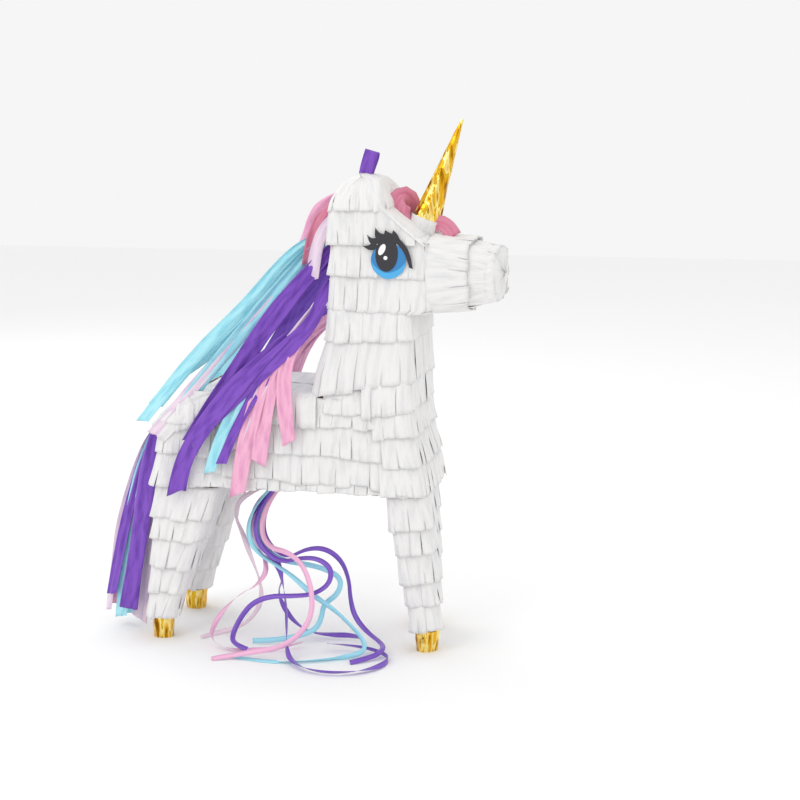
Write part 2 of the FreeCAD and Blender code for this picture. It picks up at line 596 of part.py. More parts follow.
def make_body_fringe(leg_blocks, horn_hole):
    """The crepe over the body, in three sleeves, open where the legs, muzzle, horn and flaps are."""
    holes = [core,
             block("fringe_flap_opening", FLAP_X, FLAP_Y, (f"{BELLY} - 20", f"{BELLY} + 10")),
             block("fringe_door_opening", DOOR_X, ("0", FAR), DOOR_Z)] + leg_blocks
    keep(cut("torso_fringe", torso_coat, fuse("torso_holes", holes)), "fringe_torso")
    keep(cut("neck_fringe", neck_coat, core), "fringe_neck")
    root = muzzle_block("muzzle_root", "0", MUZZLE_X)
    holes = fuse("head_holes", [core_solid, root, horn_hole, crown_slot("fringe_slot")])
    keep(cut("head_fringe", head_coat, holes), "fringe_head")


def streamer(label, stations, width, clear_of=None):
    """Bunched crepe lofted along a few stations, flat across a direction, and cut off at the coat."""
    thickness = value("sizes.streamer")
    wires = []
    count = len(stations)
    for number, (point, face) in enumerate(stations):
        ahead = stations[min(number + 1, count - 1)][0] - stations[max(number - 1, 0)][0]
        across = ahead.cross(face).normalize() * (width / 2)
        through = across.cross(ahead).normalize() * (thickness / 2)
        corners = [point + across + through, point - across + through,
                   point - across - through, point + across - through]
        wires.append(Part.makePolygon(corners + corners[:1]))
    loft = doc.addObject("Part::Feature", f"{label}_loft")
    loft.Shape = Part.makeLoft(wires, True, True)
    tool = fuse(f"{label}_tool", [coat, clear_of]) if clear_of else coat
    return keep(cut(f"{label}_trimmed", loft, tool), label)


def make_mane():
    """Streamers glued down the nape that run back over the croup, and a pink tuft behind the crown."""
    vector = FreeCAD.Vector
    side_y = value(TORSO_SIDE) + value("sizes.streamer_gap") + value("sizes.streamer") / 2
    nape_x, foot_x = value("sizes.nape_x"), value("sizes.nape_foot_x")
    back_z, top_z = value(BACK), value(PANEL_TOP)
    clear = value("sizes.coat_depth") + value("sizes.streamer")
    outward = vector(0, 1, 0)
    blue = streamer("mane_blue", [(vector(nape_x - clear + 2, -20, top_z - 32), vector(0.6, 0.8, 0)),
                                  (vector(foot_x - 26, -34, back_z + 112), vector(0.2, 1, 0)),
                                  (vector(-60, -46, back_z + 56), outward),
                                  (vector(-112, -50, back_z + 8), outward)], 30.0)
    streamer("mane_purple", [(vector(nape_x - clear - 1, -44, top_z - 86), vector(0.5, 0.85, 0)),
                             (vector(foot_x - 26, -58, back_z + 62), vector(0.1, 1, 0)),
                             (vector(-44, -side_y, back_z + 16), outward),
                             (vector(-92, -side_y, back_z - 38), outward)], 30.0)
    streamer("mane_pink", [(vector(foot_x - clear + 1, -52, back_z + 40), vector(0.3, 1, 0)),
                           (vector(foot_x - 34, -side_y, back_z + 14), outward),
                           (vector(foot_x - 54, -side_y, back_z - 40), outward),
                           (vector(foot_x - 68, -side_y, back_z - 86), outward)], 22.0)
    streamer("mane_left", [(vector(nape_x - clear - 1, 44, top_z - 86), vector(-0.5, 0.85, 0)),
                           (vector(foot_x - 26, 58, back_z + 62), vector(-0.1, 1, 0)),
                           (vector(-44, side_y, back_z + 16), outward),
                           (vector(-92, side_y, back_z - 38), outward)], 30.0)
    streamer("mane_tuft", [(vector(nape_x - clear + 3, -6, top_z + 2), vector(1, 0.1, 0)),
                           (vector(nape_x - clear - 6, -8, top_z - 16), vector(1, 0.1, 0)),
                           (vector(nape_x - clear - 3, -8, top_z - 30), vector(1, 0.1, 0))], 34.0, blue)


def make_tail():
    """Three bunches of streamers glued side by side on the rump, hanging just clear of the floor."""
    vector = FreeCAD.Vector
    rump = value("sizes.rump_x") - value("sizes.coat_depth")
    top = value(RUMP_TOP) - 6
    outward = vector(0, 1, 0)
    streamer("tail_purple", [(vector(rump, -36, top), outward), (vector(rump - 22, -38, top - 20), outward),
                             (vector(rump - 31, -38, top - 95), outward),
                             (vector(rump - 40, -38, 24), outward)], 24.0)
    streamer("tail_blue", [(vector(rump, -31, top), outward), (vector(rump - 30, -32, top - 22), outward),
                           (vector(rump - 44, -33, top - 95), outward),
                           (vector(rump - 52, -33, 9), outward)], 26.0)
    streamer("tail_pink", [(vector(rump, -26, top), outward), (vector(rump - 36, -27, top - 26), outward),
                           (vector(rump - 54, -28, top - 95), outward),
                           (vector(rump - 63.1, -28, 7), outward)], 20.0)


# Each pull ribbon's corners, from the tab down to the floor, for the sizes as they stand.
RIBBONS = [
    [(-20, -8, 147.2), (-30, -10, 136), (-41, -15, 121), (-45, -22, 105), (-40, -30, 91), (-27, -38, 81),
     (-10, -45, 75), (8, -50, 66), (28, -54, 50), (48, -54, 38), (66, -58, 24), (80, -64, 12), (82, -76, 5),
     (64, -88, 2.5), (40, -100, 2), (14, -108, 1.5), (-12, -107, 1), (-40, -100, 1)],
    [(-20, -3, 147.2), (-30, -5, 136), (-41, -10, 121), (-45, -17, 105), (-40, -25, 91), (-27, -33, 81),
     (-10, -40, 75), (-2, -50, 58), (4, -62, 40), (8, -76, 22), (12, -92, 9), (22, -112, 4),
     (42, -128, 3), (66, -132, 3), (90, -122, 3), (106, -102, 3), (108, -80, 3), (92, -64, 4),
     (68, -60, 6), (44, -66, 8)],
    [(-20, 2, 147.2), (-30, 0, 136), (-41, -5, 121), (-45, -12, 105), (-40, -20, 91), (-27, -28, 79),
     (-22, -36, 65), (-32, -40, 52), (-46, -38, 44), (-58, -44, 34), (-68, -54, 20), (-70, -68, 8),
     (-56, -80, 3), (-34, -86, 2.5), (-12, -82, 3), (6, -72, 4), (18, -58, 5)],
    [(-16.5, -8, 147.2), (-26, -10, 136), (-35, -15, 121), (-38, -22, 106), (-33, -30, 93),
     (-21, -38, 84), (-5, -45, 78), (14, -47, 84), (32, -49, 85), (46, -53, 77), (45, -58, 63),
     (30, -61, 53), (9, -63, 51), (-12, -61, 49), (-29, -62, 42), (-40, -64, 28), (-46, -71, 14),
     (-42, -85, 8), (-25, -95, 7)],
    [(-16.5, -3, 147.2), (-26, -5, 136), (-35, -10, 121), (-38, -17, 106), (-33, -25, 93),
     (-21, -33, 84), (-5, -40, 78), (14, -38, 76), (34, -36, 72), (52, -38, 64), (50, -44, 50),
     (36, -46, 40), (34, -46, 26), (28, -48, 14), (10, -52, 8), (-10, -58, 5), (-30, -60, 4)],
    [(-16.5, 2, 147.2), (-26, 0, 136), (-35, -5, 121), (-38, -12, 106), (-33, -20, 93), (-21, -28, 84),
     (-11, -33, 73), (-8, -30, 58), (-14, -28, 44), (-8, -28, 28), (4, -30, 14), (20, -31, 6),
     (42, -30, 5), (62, -36, 8), (74, -46, 9)],
    [(-13, -8, 147.2), (-21, -10, 137), (-28, -15, 123), (-31, -22, 108), (-27, -30, 96),
     (-16, -38, 89), (2, -47, 89), (20, -58, 80), (31, -70, 61), (34, -80, 40), (26, -92, 24),
     (8, -100, 12), (-14, -105, 9), (-36, -106, 4), (-54, -112, 1.5)],
    [(-13, -3, 147.2), (-21, -5, 137), (-28, -10, 123), (-31, -17, 108), (-27, -25, 96), (-16, -33, 87),
     (0, -40, 81), (16, -31, 89), (33, -26, 89), (48, -24, 78), (56, -26, 60), (58, -30, 42),
     (64, -38, 27), (78, -46, 15), (94, -56, 9), (100, -72, 8), (92, -86, 4), (74, -98, 2)],
    [(-13, 7, 147.2), (-28, 10, 140), (-46, 10, 134), (-62, 6, 124), (-64, -2, 110), (-54, -10, 96),
     (-44, -20, 78), (-34, -26, 60), (-30, -26, 42), (-34, -24, 26), (-44, -24, 12), (-58, -28, 4),
     (-74, -38, 2), (-84, -52, 1.5)],
]
DRAWN_TAB_X, DRAWN_TAB_Z = -15.2, 148.0


def soft_wire(points):
    """Straight runs joined by arcs tangent to both; gives the wire and its smallest arc radius."""
    edges, radii, last = [], [], points[0]
    for before, corner, after in zip(points, points[1:], points[2:]):
        reach = 0.45 * min(before.distanceToPoint(corner), corner.distanceToPoint(after))
        into = (corner - before).normalize()
        out = (after - corner).normalize()
        half_turn = into.getAngle(out) / 2
        radius = reach / math.tan(half_turn)
        start, end = corner - into * reach, corner + out * reach
        bulge = radius / math.cos(half_turn) - radius
        middle = corner + (out - into).normalize() * bulge
        edges.append(Part.LineSegment(last, start).toShape())
        edges.append(Part.Arc(start, middle, end).toShape())
        radii.append(radius)
        last = end
    edges.append(Part.LineSegment(last, points[-1]).toShape())
    return Part.Wire(edges), min(radii)


def make_ribbons():
    """The pull ribbons: they hang from the tab, gather under the belly and lie in a heap on the floor."""
    radius = value("sizes.ribbon_radius")
    tab_x = value("sizes.flap_front_x - sizes.flap_length + sizes.cut_gap + 2 + sizes.tab_length / 2")
    tab_z = value(f"{COAT_BELLY} - sizes.board")
    for number, corners in enumerate(RIBBONS, start=1):
        points = [FreeCAD.Vector(x - DRAWN_TAB_X + tab_x, y, z * tab_z / DRAWN_TAB_Z) for x, y, z in corners]
        wire, smallest = soft_wire(points)
        ring = Part.Wire([Part.Circle(points[0], points[1] - points[0], radius).toShape()])
        item = doc.addObject("Part::Feature", f"pull_ribbon_{number}")
        item.Shape = wire.makePipeShell([ring], True, False)
        ratio = item.Shape.Volume / (math.pi * radius ** 2 * wire.Length)
        print(f"pull_ribbon_{number} length {wire.Length:.0f} smallest radius {smallest:.1f}",
              f"volume over section times length {ratio:.3f}")
        if abs(ratio - 1) > 0.03:
            raise RuntimeError(f"pull_ribbon_{number} is not a clean tube")
        keep(item, f"pull_ribbon_{number}")


torso_coat, neck_coat, head_coat, coat = make_coat()
make_panels()
make_strips()
make_crown()
make_muzzle()
leg_blocks = [make_leg(leg) for leg in LEGS]
horn_hole = make_horn()
make_forelock()
make_eyes()
make_release_flap()
make_fill_door()
make_body_fringe(leg_blocks, horn_hole)
make_mane()
make_tail()
make_ribbons()
doc.recompute()

faults = [obj.Name for obj in doc.Objects if "Invalid" in obj.State or "Error" in obj.State]
for obj in subparts:
    shape = obj.Shape
    if shape.isNull() or not shape.isValid() or len(shape.Solids) == 0:
        faults.append(obj.Label)
if faults:
    raise RuntimeError("failed objects: " + ", ".join(faults))

os.makedirs("parts", exist_ok=True)
for obj in subparts:
    obj.Shape.exportStep(f"parts/{obj.Label}.step")
    box = obj.Shape.BoundBox
    print(f"{obj.Label:22s} solids {len(obj.Shape.Solids)} volume {obj.Shape.Volume:10.1f}",
          f"x {box.XMin:7.1f} {box.XMax:7.1f}  y {box.YMin:6.1f} {box.YMax:6.1f}",
          f"z {box.ZMin:6.1f} {box.ZMax:6.1f}")
print(len(subparts), "sub-parts")
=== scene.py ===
# %% [markdown]
# # A pull-ribbon unicorn pinata
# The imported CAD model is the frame: card shells, flaps, hinges and horn are already there, each riding on
# its body. This lesson adds what the eye sees: rows of white crepe fringe, streamers, curling ribbon,
# crumpled foil and printed eyes. Everything is in metres in the frame of the CAD model.

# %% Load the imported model
import json
import math
import random

import bmesh
import bpy
import numpy as np
from mathutils import Matrix, Vector, noise


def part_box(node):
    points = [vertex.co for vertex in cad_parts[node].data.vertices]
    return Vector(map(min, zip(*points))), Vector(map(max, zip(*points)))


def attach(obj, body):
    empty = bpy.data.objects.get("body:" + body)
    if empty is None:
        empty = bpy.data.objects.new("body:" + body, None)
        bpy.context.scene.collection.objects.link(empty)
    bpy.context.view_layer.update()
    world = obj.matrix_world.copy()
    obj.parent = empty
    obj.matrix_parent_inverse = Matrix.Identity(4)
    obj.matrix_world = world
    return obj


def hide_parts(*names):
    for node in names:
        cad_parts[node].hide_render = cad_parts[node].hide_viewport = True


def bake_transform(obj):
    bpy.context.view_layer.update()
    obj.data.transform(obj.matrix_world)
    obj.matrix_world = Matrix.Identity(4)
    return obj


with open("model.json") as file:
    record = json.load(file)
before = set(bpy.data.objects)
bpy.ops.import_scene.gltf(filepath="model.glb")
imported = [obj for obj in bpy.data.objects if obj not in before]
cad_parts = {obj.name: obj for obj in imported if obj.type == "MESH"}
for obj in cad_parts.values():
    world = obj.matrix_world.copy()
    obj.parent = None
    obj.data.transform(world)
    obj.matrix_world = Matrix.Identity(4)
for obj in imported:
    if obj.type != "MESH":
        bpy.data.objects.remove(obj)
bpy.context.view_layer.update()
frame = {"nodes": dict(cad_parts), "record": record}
bpy.ops.object.select_all(action="DESELECT")
MM = 0.001

# %% [markdown]
# The camera stands twelve degrees round towards the animal's face and ten degrees above the floor, with a
# long lens. Its place follows from those angles and one distance.

# %% Camera
CAMERA_TARGET = Vector((0.100, 0.0, 0.230))
CAMERA_AZIMUTH, CAMERA_ELEVATION, CAMERA_DISTANCE = math.radians(12), math.radians(10), 1.635
toward_camera = Vector((math.sin(CAMERA_AZIMUTH) * math.cos(CAMERA_ELEVATION),
                        -math.cos(CAMERA_AZIMUTH) * math.cos(CAMERA_ELEVATION),
                        math.sin(CAMERA_ELEVATION)))
camera_data = bpy.data.cameras.new("studio_camera")
camera_data.lens = 78
camera = bpy.data.objects.new("studio_camera", camera_data)
bpy.context.collection.objects.link(camera)
camera.location = CAMERA_TARGET + toward_camera * CAMERA_DISTANCE
camera.rotation_euler = toward_camera.to_track_quat("Z", "Y").to_euler()
bpy.context.scene.camera = camera

# %% [markdown]
# Materials come first, because each piece takes one as soon as it is made. One function turns a hex colour
# into linear light, and one adds a node with its settings and links. Small ones for what every material
# needs, a placed pattern, a change of tone and a bump, are built on them.

# %% Colour and node helpers
def hex_colour(text):
    """An sRGB hex colour as linear red, green, blue and alpha."""
    channels = [int(text[i:i + 2], 16) / 255 for i in (1, 3, 5)]
    return [c / 12.92 if c <= 0.04045 else ((c + 0.055) / 1.055) ** 2.4 for c in channels] + [1.0]


def add_node(material, kind, settings=None, links=None):
    """A shader node with its sockets or properties set, and its inputs linked from other nodes' outputs."""
    node = material.node_tree.nodes.new(kind)
    for name, setting in (settings or {}).items():
        if name in node.inputs:
            node.inputs[name].default_value = setting
        else:
            setattr(node, name, setting)
    for name, (source, output) in (links or {}).items():
        material.node_tree.links.new(source.outputs[output], node.inputs[name])
    return node


def new_material(name, shader):
    """A material with one Principled shader whose plain settings are given; returns both."""
    material = bpy.data.materials.new(name)
    material.use_nodes = True
    material.node_tree.nodes.clear()
    principled = add_node(material, "ShaderNodeBsdfPrincipled", shader)
    add_node(material, "ShaderNodeOutputMaterial", links={"Surface": (principled, "BSDF")})
    return material, principled


def link(material, source, output, node, name):
    material.node_tree.links.new(source.outputs[output], node.inputs[name])


def placed(material, kind, source, output, settings):
    """A mapping or texture node that takes its place from another node's output."""
    return add_node(material, kind, settings, {"Vector": (source, output)})


def tones(material, shader, source, dark, light, places=(0.0, 1.0)):
    """Colours the shader from dark to light by a pattern."""
    ramp = add_node(material, "ShaderNodeValToRGB", links={"Fac": (source, "Fac")})
    for element, place, tone in zip(ramp.color_ramp.elements, places, (dark, light)):
        element.position, element.color = place, hex_colour(tone)
    link(material, ramp, "Color", shader, "Base Color")
    return ramp


def bumped(material, shader, source, output, strength, distance):
    """Raises and sinks the shader's surface by a pattern."""
    bump = add_node(material, "ShaderNodeBump", {"Strength": strength, "Distance": distance},
                    {"Height": (source, output)})
    link(material, bump, "Normal", shader, "Normal")


def speckled(name, settings, dark, light, grain, detail):
    """A material whose colour changes by a fine noise; gives the material, shader, place and noise."""
    material, shader = new_material(name, settings)
    place = add_node(material, "ShaderNodeTexCoord")
    speckle = placed(material, "ShaderNodeTexNoise", place, "Object", {"Scale": 1 / grain, "Detail": detail})
    tones(material, shader, speckle, dark, light)
    return material, shader, place, speckle


# %% [markdown]
# Crepe is thin paper with a fine crinkle pressed across the sheet, so a cut strip shows fine lines along
# its length. The piece's UV map is in millimetres, u across the strips and v down them, so the noise is
# stretched along v. A second, coarser noise gives soft creases, and painted shade goes with it: each paper's
# light and dark tones are its lit and its shaded colour, and the colour turns dark in the hollows of the creases.

# %% Crepe paper
CRINKLE_MM = 1.5     # spacing of the pressed crinkle, drawn a little coarse so that it shows
CREASE_MM = 5.0      # soft creases from handling


def crepe(name, light, dark, depth=0.55):
    material, shader = new_material(name, {"Roughness": 0.75, "Sheen Weight": 0.25,
                                           "Sheen Roughness": 0.5, "Specular IOR Level": 0.3})
    uv = add_node(material, "ShaderNodeTexCoord")
    along = placed(material, "ShaderNodeMapping", uv, "UV", {"Scale": (1 / CRINKLE_MM, 0.06 / CRINKLE_MM, 1)})
    crinkle = placed(material, "ShaderNodeTexNoise", along, "Vector",
                     {"Scale": 1.0, "Detail": 4.0, "Roughness": 0.6})
    wide = placed(material, "ShaderNodeMapping", uv, "UV", {"Scale": (1 / CREASE_MM, 0.2 / CREASE_MM, 1)})
    crease = placed(material, "ShaderNodeTexNoise", wide, "Vector", {"Scale": 1.0, "Detail": 2.0})
    both = add_node(material, "ShaderNodeMath", {"operation": "ADD"})
    link(material, crinkle, "Fac", both, 0)
    link(material, crease, "Fac", both, 1)
    # painted shade: the colour goes from the lit tone to the shaded tone where the crease noise sinks the bump
    tones(material, shader, crease, dark, light, (0.30, 0.55))
    bumped(material, shader, both, "Value", depth, 0.8 * MM)
    return material


# Each paper gets its lit tone first and its painted shade for the creases second.
white_crepe = crepe("white_crepe_paper", "#ECEBEA", "#DFDEDF", depth=0.9)
purple_crepe = crepe("purple_crepe_paper", "#8252C0", "#6438A2")
blue_crepe = crepe("light_blue_crepe_paper", "#ADE8F2", "#86D2E4")
pink_crepe = crepe("pink_crepe_paper", "#F1B4D0", "#DE97BE")
pale_crepe = crepe("pale_pink_crepe_paper", "#EBD6E4", "#D3C0DC")
rose_crepe = crepe("rose_crepe_paper", "#DB8AA2", "#C46684")

# %% [markdown]
# Curling ribbon is polypropylene film, rolled with fine grooves along its length and glossy. The grooves
# run along v, so the bump only changes with u.

# %% Curling ribbon
GROOVE_MM = 0.5


def film_ribbon(name, colour):
    material, shader = new_material(name, {"Base Color": hex_colour(colour), "Roughness": 0.3,
                                           "Coat Weight": 0.3, "Coat Roughness": 0.2, "IOR": 1.49})
    uv = add_node(material, "ShaderNodeTexCoord")
    along = placed(material, "ShaderNodeMapping", uv, "UV", {"Scale": (1 / GROOVE_MM, 0.01, 1)})
    groove = placed(material, "ShaderNodeTexNoise", along, "Vector", {"Scale": 1.0, "Detail": 2.0})
    bumped(material, shader, groove, "Fac", 0.5, 0.1 * MM)
    return material


purple_film = film_ribbon("purple_polypropylene_film", "#7A4FC0")
blue_film = film_ribbon("light_blue_polypropylene_film", "#9FE0F2")
pink_film = film_ribbon("pink_polypropylene_film", "#F0B4D6")
pale_film = film_ribbon("pale_pink_polypropylene_film", "#F4DCEA")

# %% [markdown]
# The horn and hooves are wrapped in aluminium foil lacquered gold. It is almost a mirror, and it is
# crumpled: sharp flat facets of a few millimetres, which come from a Voronoi pattern in the bump on top of
# the facets in the mesh. Its folds run along the piece and mirror bright and dark parts of a room in turn;
# this is painted reflection in the colour: a noise drawn out along it shifts the gold from dark to pale in streaks.

# %% Gold foil
FACET_MM = 7.0
gold_foil, foil_shader = new_material("crumpled_gold_aluminium_foil",
                                      {"Base Color": hex_colour("#EDB62E"), "Metallic": 1.0,
                                       "Roughness": 0.16})
foil_place = add_node(gold_foil, "ShaderNodeTexCoord")
foil_long = placed(gold_foil, "ShaderNodeMapping", foil_place, "Object",
                   {"Rotation": (0, -0.35, 0), "Scale": (1, 1, 0.16)})
foil_reflection_streak = placed(gold_foil, "ShaderNodeTexNoise", foil_long, "Vector",
                     {"Scale": 1 / (FACET_MM * MM), "Detail": 2.5})
# painted reflection: dark bronze and pale yellow highlight streaks in the colour stand for the room mirrored in the
# folds
foil_painted_reflection = tones(gold_foil, foil_shader, foil_reflection_streak, "#8A580C", "#9C6810", (0.34, 0.66))
for place, tone in ((0.40, "#E8AE24"), (0.47, "#FFEE9C"), (0.50, "#F6CB42"), (0.51, "#7C4E0A"), (0.52, "#F2C136"),
                    (0.60, "#E3A61E")):
    foil_painted_reflection.color_ramp.elements.new(place).color = hex_colour(tone)
foil_facets = placed(gold_foil, "ShaderNodeTexVoronoi", foil_long, "Vector", {"Scale": 1 / (FACET_MM * MM)})
foil_ripple = placed(gold_foil, "ShaderNodeTexNoise", foil_place, "Object", {"Scale": 1 / (9 * MM), "Detail": 3.0})
foil_sum = add_node(gold_foil, "ShaderNodeMath", {"operation": "ADD"})
link(gold_foil, foil_facets, "Distance", foil_sum, 0)
link(gold_foil, foil_ripple, "Fac", foil_sum, 1)
bumped(gold_foil, foil_shader, foil_sum, "Value", 0.55, 1.2 * MM)

# %% [markdown]
# The shells are unbleached corrugated card: brown, matt, with short dark fibres and the flutes showing as
# faint stripes about seven millimetres apart. The stick is a plain birch dowel, and the hinges are white
# paper tape.

# %% Card, wood and tape
FLUTE_MM = 7.0
kraft_card, card_shader, card_place, _ = speckled("unbleached_corrugated_card", {"Roughness": 0.85},
                                                  "#8F6A40", "#BC9465", 1.5 * MM, 5.0)
card_flute = placed(kraft_card, "ShaderNodeTexWave", card_place, "Object",
                    {"Scale": 0.314 / (FLUTE_MM * MM), "Distortion": 0.4})
bumped(kraft_card, card_shader, card_flute, "Fac", 0.2, 0.3 * MM)

birch, birch_shader = new_material("birch_dowel", {"Roughness": 0.55})
birch_place = add_node(birch, "ShaderNodeTexCoord")
birch_along = placed(birch, "ShaderNodeMapping", birch_place, "Object", {"Scale": (60, 900, 900)})
birch_grain = placed(birch, "ShaderNodeTexNoise", birch_along, "Vector", {"Scale": 1.0, "Detail": 4.0})
tones(birch, birch_shader, birch_grain, "#B9935F", "#DDBF8C")

paper_tape, tape_shader, _, tape_fibre = speckled("white_paper_tape", {"Roughness": 0.7},
                                                  "#E6E3DE", "#F6F4F1", 0.8 * MM, 3.0)
bumped(paper_tape, tape_shader, tape_fibre, "Fac", 0.3, 0.1 * MM)


# %% [markdown]
# The eyes are printed paper stickers with a soft gloss. Each colour is its own flat shape, so each gets
# one material with a faint speckle, as ink on paper has.

# %% Printed ink
def ink(name, light, dark):
    return speckled(name, {"Roughness": 0.35, "Coat Weight": 0.2}, dark, light, 0.6 * MM, 2.0)[0]


black_ink = ink("black_printed_ink", "#2E2C33", "#1F1D24")
iris_ink = ink("blue_printed_ink", "#2F8BCB", "#2478B6")
bright_ink = ink("bright_blue_printed_ink", "#4FB3EA", "#3FA3DE")
white_ink = ink("white_printed_ink", "#FCFCFC", "#F1F1F1")

# %% [markdown]
# The CAD pieces that show as they are take their material in their own slot.

# %% Finish the CAD pieces
CAD_FINISH = {"kraft_card": kraft_card, "stick_wood": birch, "paper_tape": paper_tape,
              "white_crepe": white_crepe, "gold_foil": gold_foil, "purple_crepe": purple_crepe,
              "blue_crepe": blue_crepe, "pink_crepe": pink_crepe, "eye_print": white_ink}
slot_of = {part["node"]: part["material_slot"] for part in frame["record"]["subparts"]}
for node_name, node in frame["nodes"].items():
    node.data.materials.clear()
    node.data.materials.append(CAD_FINISH[slot_of[node_name]])


# %% [markdown]
# The pull ribbons come next. Each is a real length of curling ribbon tied to the tab on the release flap.
# It gathers with the others under the belly and lies in loops on the floor. Its line is one smooth NURBS
# curve, and the ribbon is a flat strip along it. A strip is easier to control than a bevelled curve,
# because where it nears the floor it has to turn flat.

# %% Smooth lines and flat strips
def smooth_line(points, resolution=10):
    """Points along one NURBS curve whose control points are given, in metres."""
    curve = bpy.data.curves.new("route", "CURVE")
    curve.dimensions = "3D"
    curve.resolution_u = resolution
    spline = curve.splines.new("NURBS")
    spline.points.add(len(points) - 1)
    for control, point in zip(spline.points, points):
        control.co = (*point, 1.0)
    spline.order_u = 3
    spline.use_endpoint_u = True
    holder = bpy.data.objects.new("route", curve)
    bpy.context.collection.objects.link(holder)
    bpy.context.view_layer.update()
    line = [vertex.co.copy() for vertex in bpy.data.meshes.new_from_object(holder).vertices]
    bpy.data.objects.remove(holder)
    return line


def line_length(line):
    return sum((b - a).length for a, b in zip(line, line[1:]))


def tangents(line):
    last = len(line) - 1
    return [(line[min(i + 1, last)] - line[max(i - 1, 0)]).normalized() for i in range(len(line))]


def strip_faces(rows, columns):
    """Faces of a strip whose points go across it, row after row."""
    stride = columns + 1
    return [(i * stride + c, i * stride + c + 1, (i + 1) * stride + c + 1, (i + 1) * stride + c)
            for i in range(rows - 1) for c in range(columns)]


def mesh_piece(name, vertices, faces, uvs, material):
    """A sheet's mesh from its grid, with UVs in millimetres."""
    mesh = bpy.data.meshes.new(name)
    mesh.from_pydata([tuple(v) for v in vertices], [], faces)
    layer = mesh.uv_layers.new(name="UVMap")
    for polygon in mesh.polygons:
        polygon.use_smooth = True
        for loop_index in polygon.loop_indices:
            layer.data[loop_index].uv = uvs[mesh.loops[loop_index].vertex_index]
    mesh.materials.append(material)
    piece = bpy.data.objects.new(name, mesh)
    bpy.context.collection.objects.link(piece)
    return piece


def thicken(piece, thickness, offset):
    """Gives a sheet its real thickness: to both sides with offset 0, inwards with offset -1."""
    solid = piece.modifiers.new("paper", "SOLIDIFY")
    solid.thickness = thickness
    solid.offset = offset
    bpy.context.view_layer.objects.active = piece
    piece.select_set(True)
    bpy.ops.object.modifier_apply(modifier=solid.name)
    piece.select_set(False)


# %% Pull ribbons
RIBBON_WIDTH, RIBBON_FILM = 5.0 * MM, 0.25 * MM
FLOOR_CLEAR = 0.4 * MM
RIBBON_FACE = Vector((0.1, -1.0, 0.45)).normalized()
# Corners of each route in millimetres, from the tab to the ribbon's end, with its film and its twist.
ROUTES = [
    (blue_film, 0.3, [
        (-20, -8, 147.2), (-30, -10, 136), (-41, -15, 121), (-45, -22, 105), (-40, -30, 91), (-27, -38, 81),
        (-10, -45, 75), (8, -50, 66), (28, -54, 50), (48, -54, 38), (66, -58, 24), (80, -64, 12),
        (82, -76, 5), (64, -88, 2.5), (40, -100, 2), (14, -108, 1.5), (-12, -107, 1), (-40, -100, 1)]),
    (purple_film, 1.2, [
        (-20, -3, 147.2), (-30, -5, 136), (-41, -10, 121), (-45, -17, 105), (-40, -25, 91), (-27, -33, 81),
        (-10, -40, 75), (-2, -50, 58), (4, -62, 40), (8, -76, 22), (12, -92, 9), (22, -112, 4),
        (42, -128, 3), (66, -132, 3), (90, -122, 3), (106, -102, 3), (108, -80, 3), (92, -64, 4),
        (68, -60, 6), (44, -66, 8)]),
    (pink_film, 0.8, [
        (-20, 2, 147.2), (-30, 0, 136), (-41, -5, 121), (-45, -12, 105), (-40, -20, 91), (-27, -28, 79),
        (-22, -36, 65), (-32, -40, 52), (-46, -38, 44), (-58, -44, 34), (-68, -54, 20), (-70, -68, 8),
        (-56, -80, 3), (-34, -86, 2.5), (-12, -82, 3), (6, -72, 4), (18, -58, 5)]),
    (purple_film, 0.0, [
        (-16.5, -8, 147.2), (-26, -10, 136), (-35, -15, 121), (-38, -22, 106), (-33, -30, 93),
        (-21, -38, 84), (-5, -45, 78), (14, -47, 84), (32, -49, 85), (46, -53, 77), (45, -58, 63),
        (30, -61, 53), (9, -63, 51), (-12, -61, 49), (-29, -62, 42), (-40, -64, 28), (-46, -71, 14),
        (-42, -85, 8), (-25, -95, 7)]),
    (blue_film, -0.4, [
        (-16.5, -3, 147.2), (-26, -5, 136), (-35, -10, 121), (-38, -17, 106), (-33, -25, 93),
        (-21, -33, 84), (-5, -40, 78), (14, -38, 76), (34, -36, 72), (52, -38, 64), (50, -44, 50),
        (36, -46, 40), (34, -46, 26), (28, -48, 14), (10, -52, 8), (-10, -58, 5), (-30, -60, 4)]),
    (purple_film, 0.6, [
        (-16.5, 2, 147.2), (-26, 0, 136), (-35, -5, 121), (-38, -12, 106), (-33, -20, 93), (-21, -28, 84),
        (-11, -33, 73), (-8, -30, 58), (-14, -28, 44), (-8, -28, 28), (4, -30, 14), (20, -31, 6),
        (42, -30, 5), (62, -36, 8), (74, -46, 9)]),
    (pink_film, -0.7, [
        (-13, -8, 147.2), (-21, -10, 137), (-28, -15, 123), (-31, -22, 108), (-27, -30, 96),
        (-16, -38, 89), (2, -47, 89), (20, -58, 80), (31, -70, 61), (34, -80, 40), (26, -92, 24),
        (8, -100, 12), (-14, -105, 9), (-36, -106, 4), (-54, -112, 1.5)]),
    (purple_film, 0.2, [
        (-13, -3, 147.2), (-21, -5, 137), (-28, -10, 123), (-31, -17, 108), (-27, -25, 96), (-16, -33, 87),
        (0, -40, 81), (16, -31, 89), (33, -26, 89), (48, -24, 78), (56, -26, 60), (58, -30, 42),
        (64, -38, 27), (78, -46, 15), (94, -56, 9), (100, -72, 8), (92, -86, 4), (74, -98, 2)]),
    (pale_film, 0.5, [
        (-13, 7, 147.2), (-28, 10, 140), (-46, 10, 134), (-62, 6, 124), (-64, -2, 110), (-54, -10, 96),
        (-44, -20, 78), (-34, -26, 60), (-30, -26, 42), (-34, -24, 26), (-44, -24, 12), (-58, -28, 4),
        (-74, -38, 2), (-84, -52, 1.5)]),
]


